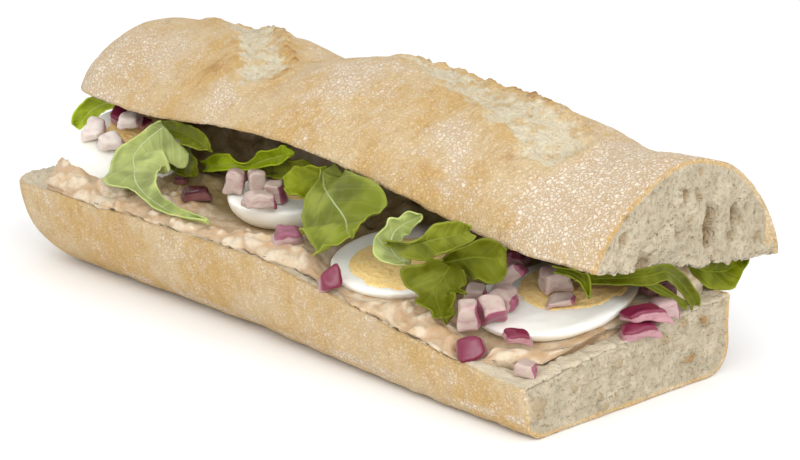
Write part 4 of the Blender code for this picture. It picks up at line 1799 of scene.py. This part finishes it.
LEAVES = (
    # Small leaf past the round end
    Leaf(
        ((-107, -1, 47), (-115, -2, 46), (-119.5, -6, 42.5), (-120.5, -10, 37.5)),
        (1.3, 2.2, 2.7, 3.2, 3.4, 3.0, 1.8), (2, 3, 3.8, 4.2, 4.2, 3.6, 2.0),
        TOWARDS, TOWARDS, LeafTone.SUNNY,
    ),
    # Large leaf that hangs over the front
    Leaf(
        ((-64.7, -14.7, 48), (-65.7, -21.7, 44), (-64.7, -26.7, 40), (-58.7, -30.7, 37),
         (-52.7, -34.7, 35.3), (-42.5, -37.4, 32.8), (-30, -38.0, 30.6), (-15.5, -35.5, 29.8)),
        (12, 14.5, 9.5, 6.2, 7.6, 10, 10.8, 10.5, 9.2, 5, 3, 2.4, 1.4, 0.3),
        (2, 3, 3, 4.2, 6, 8, 7.8, 9, 3.2, 1.9, 1.9, 1.6, 1, 0.3),
        TOWARDS, UPWARDS, LeafTone.FACE,
    ),
    # Upper leaf behind the large one
    Leaf(
        ((-73, -10, 46), (-64, -10, 46), (-53, -11, 45), (-44, -12, 43)),
        (1.6, 2.3, 2.8, 3.2, 2.8, 0.3), (1.9, 3.2, 2.6, 3.4, 2.2, 0.3),
        TOWARDS, TOWARDS, LeafTone.MIDDLE,
    ),
    # Low leaf behind the large one
    Leaf(
        ((-70, -9, 35.6), (-62, -10, 34.6), (-53, -11, 33.6)),
        (3.4, 5.2, 6.0, 5.0, 2.4), (1.9, 2.5, 2.7, 2.2, 1.3),
        TOWARDS, TOWARDS, LeafTone.DEEP,
    ),
    # Long narrow leaf under the lid
    Leaf(
        ((-57, -5, 34.5), (-45, -6, 37.5), (-33, -7, 39.5), (-23, -8, 43.2), (-13, -9, 46.6),
         (-7, -10, 48.6)),
        (1.8, 3.6, 3.2, 0.9, 1.6, 3.0, 2.4, 2.9, 1.4), (1.3, 1.9, 1.6, 1.2, 1.5, 1.9, 2.3, 2.1, 1),
        TOWARDS, TOWARDS, LeafTone.LIT,
    ),
    # Leaf in painted shade below the narrow one
    Leaf(
        ((-44.4, -2.7, 35.9), (-28.4, -4.7, 37.9), (-13.3, -6.7, 40.9), (-0.3, -8.7, 45.9)),
        (0.9, 3.1, 4.2, 1.8), (0.6, 0.9, 1.8, 1.4),
        TOWARDS, TOWARDS, LeafTone.DARK,
    ),
    # Folded leaf between the second egg and the lid
    Leaf(
        ((12, -12, 46), (7, -14, 44), (4, -17, 42), (1, -20, 41)),
        (3.4, 4.2, 5.6, 6.8, 6.2, 4.4, 3.2, 1.4), (2.6, 2.9, 4.0, 4.4, 4.9, 4.7, 3.6, 2.0),
        TOWARDS, UPWARDS, LeafTone.BRIGHT,
    ),
    # Large leaf between the second and third egg
    Leaf(
        ((11.3, -14.3, 47.1), (16.4, -18.3, 44.1), (26.4, -23.3, 42.1), (35.4, -27.3, 40.1),
         (41.4, -31.3, 38.1), (45.4, -33.3, 37.1)),
        (3.5, 5.5, 6.5, 7.5, 8.5, 9.5, 11, 12.8, 13, 11.4, 7.2, 7.8, 4.5, 1.5),
        (0.6, 0.7, 1.2, 3.2, 6.8, 9.6, 11, 12, 12.5, 12.4, 11.3, 10.2, 11.5, 7.5),
        TOWARDS, TOWARDS, LeafTone.HANGING,
    ),
    # Light flap beside the third egg
    Leaf(
        ((61.5, -27, 32.5), (57.5, -27, 33), (53, -26, 35), (52, -24, 38.5), (54, -22, 41),
         (59, -20, 44)),
        (0.6, 1.2, 2.4, 3.8, 4.8, 4.6, 3.2, 3.8, 2.2, 2.8, 0.8),
        (1.8, 2.8, 3.4, 3.4, 3.2, 3, 3.2, 2.6, 3, 1.8, 1.2),
        TOWARDS, TOWARDS, LeafTone.FACE,
    ),
    # Flap on the third egg
    Leaf(
        ((53.6, -27.7, 36.9), (64.8, -29.7, 38.9), (71.2, -28.2, 41.1), (75.2, -23.7, 42.3),
         (75.8, -18.7, 42.7)),
        (0.4, 0.5, 0.6, 0.8, 1.4, 2.8, 3.8, 4.2, 3.6, 2.4, 1),
        (0.8, 1.6, 2.8, 4.2, 5, 4.6, 3.8, 3.4, 3, 2.6, 1.6),
        TOWARDS, TOWARDS, LeafTone.MIDDLE,
    ),
    # Leaf that leans against the lid
    Leaf(
        ((69.9, -26, 33.7), (75.9, -25, 35.7), (81.9, -23, 37.7), (86.9, -20, 37.7),
         (88.9, -18, 37.7)),
        (0.3, 0.8, 1.7, 2.6, 3.2, 3.8, 4.8, 4.8, 4.4, 3.4, 2.6),
        (0.4, 0.6, 1.2, 2.6, 4.8, 6.2, 5.8, 6.8, 6.2, 4.6, 3),
        TOWARDS, TOWARDS, LeafTone.DEEP,
    ),
    # Leaf that hangs over the front, past the third egg
    Leaf(
        ((77, -27, 35), (77, -31, 31), (78, -33, 28), (82, -35, 25), (85, -36, 23)),
        (3.7, 6.0, 5.2, 7.6, 6.6, 7.4, 4.4, 5.6, 3.4, 3.2, 0.3),
        (2.5, 5.6, 6.2, 10.6, 8.6, 4.2, 5.2, 2.2, 2.4, 1, 0.3),
        TOWARDS, TOWARDS, LeafTone.DEEP, curl=2.4, wave=1.5,
    ),
    # Sprig under the lid at the cut end
    Leaf(
        ((103.3, -14.3, 37.1), (109.3, -14.8, 37.5), (113.3, -15.8, 37.1), (115.3, -16.3, 36.1),
         (117.3, -17.3, 33.1)),
        (0.8, 1, 1.1, 1.7, 1, 0.2), (0.8, 1, 1.1, 1.3, 0.9, 0.2),
        TOWARDS, TOWARDS, LeafTone.DEEP,
    ),
    # Thick stem at the cut end
    Leaf(
        ((106.3, -4.3, 33.5), (113.3, 0.7, 34.1), (119.1, 3.7, 35.3), (120.3, 9.7, 35.4),
         (119.3, 17.7, 30.1), (118.8, 22.2, 25.6), (118.3, 24.2, 22.8)),
        (1.3, 1.7, 2.1, 2.0, 1.9, 1.9, 1.2), (1.5, 1.9, 2.3, 2.2, 2.0, 1.8, 1.2),
        TOWARDS, TOWARDS, LeafTone.DEEP, curl=0.9, wave=0.2,
    ),
    # Thin stem at the cut end
    Leaf(
        ((107.7, -1.7, 34.4), (111.7, 2.3, 34.9), (115.2, 8.3, 31.4), (116.7, 15.3, 27.2),
         (117.7, 22.0, 22.8)),
        (0.8, 1.0, 1.1, 1.1, 0.9), (0.8, 1.0, 1.1, 1.1, 0.9),
        TOWARDS, TOWARDS, LeafTone.MIDDLE, curl=0.3, wave=0.2,
    ),
    # Leaf at the back of the cut end
    Leaf(
        ((108, 34, 29.5), (110, 40.5, 27.2), (111, 47, 26.4), (112, 54, 28.6)),
        (3, 3.8, 4.4, 4.6, 4.4, 3.8, 2.6, 0.6, 0.3), (1.6, 3.2, 4.6, 5.2, 5.2, 4.6, 3.6, 2.4, 0.3),
        TOWARDS, TOWARDS, LeafTone.BRIGHT,
    ),
)

ONIONS = (
    Die((-99.8, -17.5, 42), (7.5, 8.5, 5), (18, 18, 40), OnionTone.CLEAR, bevel=0.28),
    Die((-90.7, -17.2, 39.2), (8, 6, 4.5), (18, 18, 60), OnionTone.CLEAR, bevel=0.28),
    Die((-98.8, -8.2, 45.2), (5.5, 6, 4.5), (18, 18, 20), OnionTone.PURPLE, SkinSide.ABOVE),
    Die((-90.4, -9.9, 45.4), (8, 5.5, 4.5), (18, 18, 55), OnionTone.CLEAR, bevel=0.28),
    Die((-91.0, -3.7, 43.1), (4.5, 4, 3), (18, 18, 10), OnionTone.PURPLE, SkinSide.ABOVE),
    Die((-42.0, -19.9, 31.5), (9, 5, 4), (0, 0, 60), OnionTone.DARK, SkinSide.ABOVE),
    Die((-58.5, -13.5, 31.5), (4, 3, 2.5), (0, 0, 40), OnionTone.DARK, SkinSide.ABOVE),
    Die((-24.2, -18.7, 38.3), (6, 5, 7), (3, 3, 30), OnionTone.PALE),
    Die((-19.2, -14.1, 38.4), (5.5, 5, 7), (3, 3, 75), OnionTone.PALE),
    Die((-9.6, -15.1, 36.9), (5.5, 5, 6.3), (3, 3, 40), OnionTone.PALE),
    Die((-6.6, -23.7, 36.9), (9, 6, 4.3), (3, 3, 60), OnionTone.PALE),
    Die((16.7, -32.4, 32.0), (8.5, 6, 5), (10, 5, 40), OnionTone.PINK, SkinSide.ABOVE),
    Die((44.4, -40.5, 26.9), (6.5, 5.5, 5), (50, 36, 45), OnionTone.PURPLE, SkinSide.ABOVE),
    Die((69.4, 6.4, 29.6), (6, 6, 5), (10, 0, 30), OnionTone.PURPLE, SkinSide.ABOVE),
    Die((80.8, -9, 29.5), (10, 4.5, 4.5), (25, -25, 47), OnionTone.PALE),
    Die((77.4, -17.6, 25.7), (6, 5, 4.5), (10, 5, 30), OnionTone.PALE),
    Die((89.6, -32.4, 25.4), (5.5, 5, 8), (5, 5, 50), OnionTone.PALE),
    Die((90.2, -24.4, 25.6), (7.5, 6, 6), (38, 26, 48), OnionTone.PALE, SkinSide.ROUND),
    Die((86.5, -17.2, 26.3), (9, 6.5, 5.5), (12, 4, 20), OnionTone.PALE),
    Die((92.8, -3, 30.1), (8, 6.5, 6.5), (10, 0, 55), OnionTone.PALE),
    Die((98.6, -7.1, 26.5), (8, 5, 1.8), (11, 2, 52), OnionTone.PALE),
    Die((102.9, -27.7, 22.0), (7, 4, 3), (0, 10, 50), OnionTone.PURPLE, SkinSide.ABOVE),
    Die((94.6, -36.5, 18.3), (8, 6, 6.5), (50, 36, 45), OnionTone.PURPLE, SkinSide.ABOVE),
    Die((111.6, -33.9, 16.9), (5.5, 5, 4), (0, 0, 20), OnionTone.PALE),
    Die((118.2, 4.1, 25.1), (12, 4.5, 3.5), (5, 0, 55), OnionTone.PURPLE, SkinSide.ABOVE),
    Die((118.0, 2.4, 20.6), (11, 4, 4), (10, 10, 60), OnionTone.PURPLE, SkinSide.ABOVE),
    Die((117.1, 13.4, 24.0), (8, 5.5, 4.8), (0, 0, 60), OnionTone.PINK),
    Die((101.9, 10.1, 30), (4.5, 4, 3.5), (0, 0, 20), OnionTone.DARK, SkinSide.ABOVE),
    Die((111.3, 17.2, 28.2), (8, 5, 3.5), (0, 0, 60), OnionTone.DARK, SkinSide.ABOVE),
)


@dataclass(frozen=True)
class Lamp:
    """A soft lamp: its name, its angles round the sandwich, its size in metres and its power."""

    name: str
    azimuth: float
    elevation: float
    size: float
    power: float


@dataclass(frozen=True)
class Studio:
    """A pale floor, soft light from above in front, and the camera at the photograph's angle."""

    target: Place = (33.2, -4.15, 31.8)
    azimuth: float = 47.0
    elevation: float = 15.4
    distance: float = 574.3
    lens: float = 90.0
    sensor: float = 36.0
    floor_size: float = 12.0
    floor_colour: Colour = (0.94, 0.94, 0.94)
    lamp_distance: float = 1100.0
    lamps: tuple[Lamp, ...] = (
        Lamp("key_light", 18.0, 36.0, 0.9, 2.6),
        Lamp("side_light", 82.0, 30.0, 0.7, 2.3),
        Lamp("fill_light", 57.0, 27.0, 0.6, 3.7),
    )

    def look(self, made: bpy.types.Object, azimuth: float, elevation: float,
             distance: float) -> None:
        """Puts a lamp or the camera round the sandwich, aimed at it.

        Args:
            made: the lamp or camera.
            azimuth: degrees round the sandwich from its front.
            elevation: degrees above the floor.
            distance: millimetres from the target.
        """
        a, e = math.radians(azimuth), math.radians(elevation)
        away = Vector((math.sin(a) * math.cos(e), -math.cos(a) * math.cos(e), math.sin(e)))
        made.location = (Vector(self.target) + away * distance) * MM
        made.rotation_euler = away.to_track_quat("Z", "Y").to_euler()

    def floor(self) -> None:
        """Lays the pale floor just under the bread."""
        deselect()
        bpy.ops.mesh.primitive_plane_add(size=self.floor_size, location=(0, 0, -STAGE_DROP))
        floor = bpy.context.object
        floor.name = "floor"
        paint = Finish("floor_paint", 0.9)
        paint.set("Base Color", self.floor_colour)
        floor.data.materials.append(paint.material)

    def light(self) -> None:
        """Makes the white surroundings and the soft lamps."""
        world = bpy.data.worlds.new("studio")
        world.use_nodes = True
        sky = world.node_tree.nodes["Background"]
        sky.inputs["Color"].default_value = (1.0, 1.0, 1.0, 1.0)
        sky.inputs["Strength"].default_value = 1.0
        bpy.context.scene.world = world
        for lamp in self.lamps:
            bpy.ops.object.light_add(type="AREA")
            made = bpy.context.object
            made.name = lamp.name
            made.data.energy = lamp.power
            made.data.size = lamp.size
            self.look(made, lamp.azimuth, lamp.elevation, self.lamp_distance)

    def camera(self) -> None:
        """Makes the camera at the photograph's angle."""
        data = bpy.data.cameras.new("camera")
        data.lens = self.lens
        data.sensor_width = self.sensor
        data.clip_end = 50.0
        camera = bpy.data.objects.new("camera", data)
        bpy.context.scene.collection.objects.link(camera)
        self.look(camera, self.azimuth, self.elevation, self.distance)
        bpy.context.scene.camera = camera

    def build(self) -> None:
        """Makes the floor, the lights and the camera."""
        self.floor()
        self.light()
        self.camera()
        bpy.context.scene.view_settings.view_transform = "Standard"


@dataclass(frozen=True)
class Sandwich:
    """The whole sandwich, built from the bread outwards."""

    top: TopBread
    bottom: BottomBread

    def build(self) -> None:
        """Builds every piece with its finish."""
        bread = BreadFinish().build("bread")
        self.bottom.build(bread)
        self.top.build(bread)
        TunaSpread(self.bottom).build(SpreadFinish().build("tuna"))
        white, yellow = EggWhiteFinish().build("egg_white"), YolkFinish().build("yolk")
        for number, egg in enumerate(EGGS, 1):
            egg.build(number, white, yellow)
        greens = {tone: LeafFinish(tone).build(f"leaf_{tone.name.lower()}") for tone in LeafTone}
        for number, leaf in enumerate(LEAVES, 1):
            leaf.build(number, greens[leaf.tone])
        reds = {tone: OnionFinish(tone).build(f"onion_{tone.name.lower()}") for tone in OnionTone}
        for number, die in enumerate(ONIONS, 1):
            die.build(number, reds[die.tone])


def main() -> None:
    """Builds the sandwich and the studio."""
    logging.basicConfig(level=logging.INFO, format="%(name)s %(message)s")
    top = TopBread(holes=TOP_HOLES, seed=5, shaded=1.0, crusted=TOP_PATCHES)
    bottom = BottomBread(holes=BOTTOM_HOLES, seed=8)
    Sandwich(top, bottom).build()
    Studio().build()


if __name__ == "__main__":
    main()
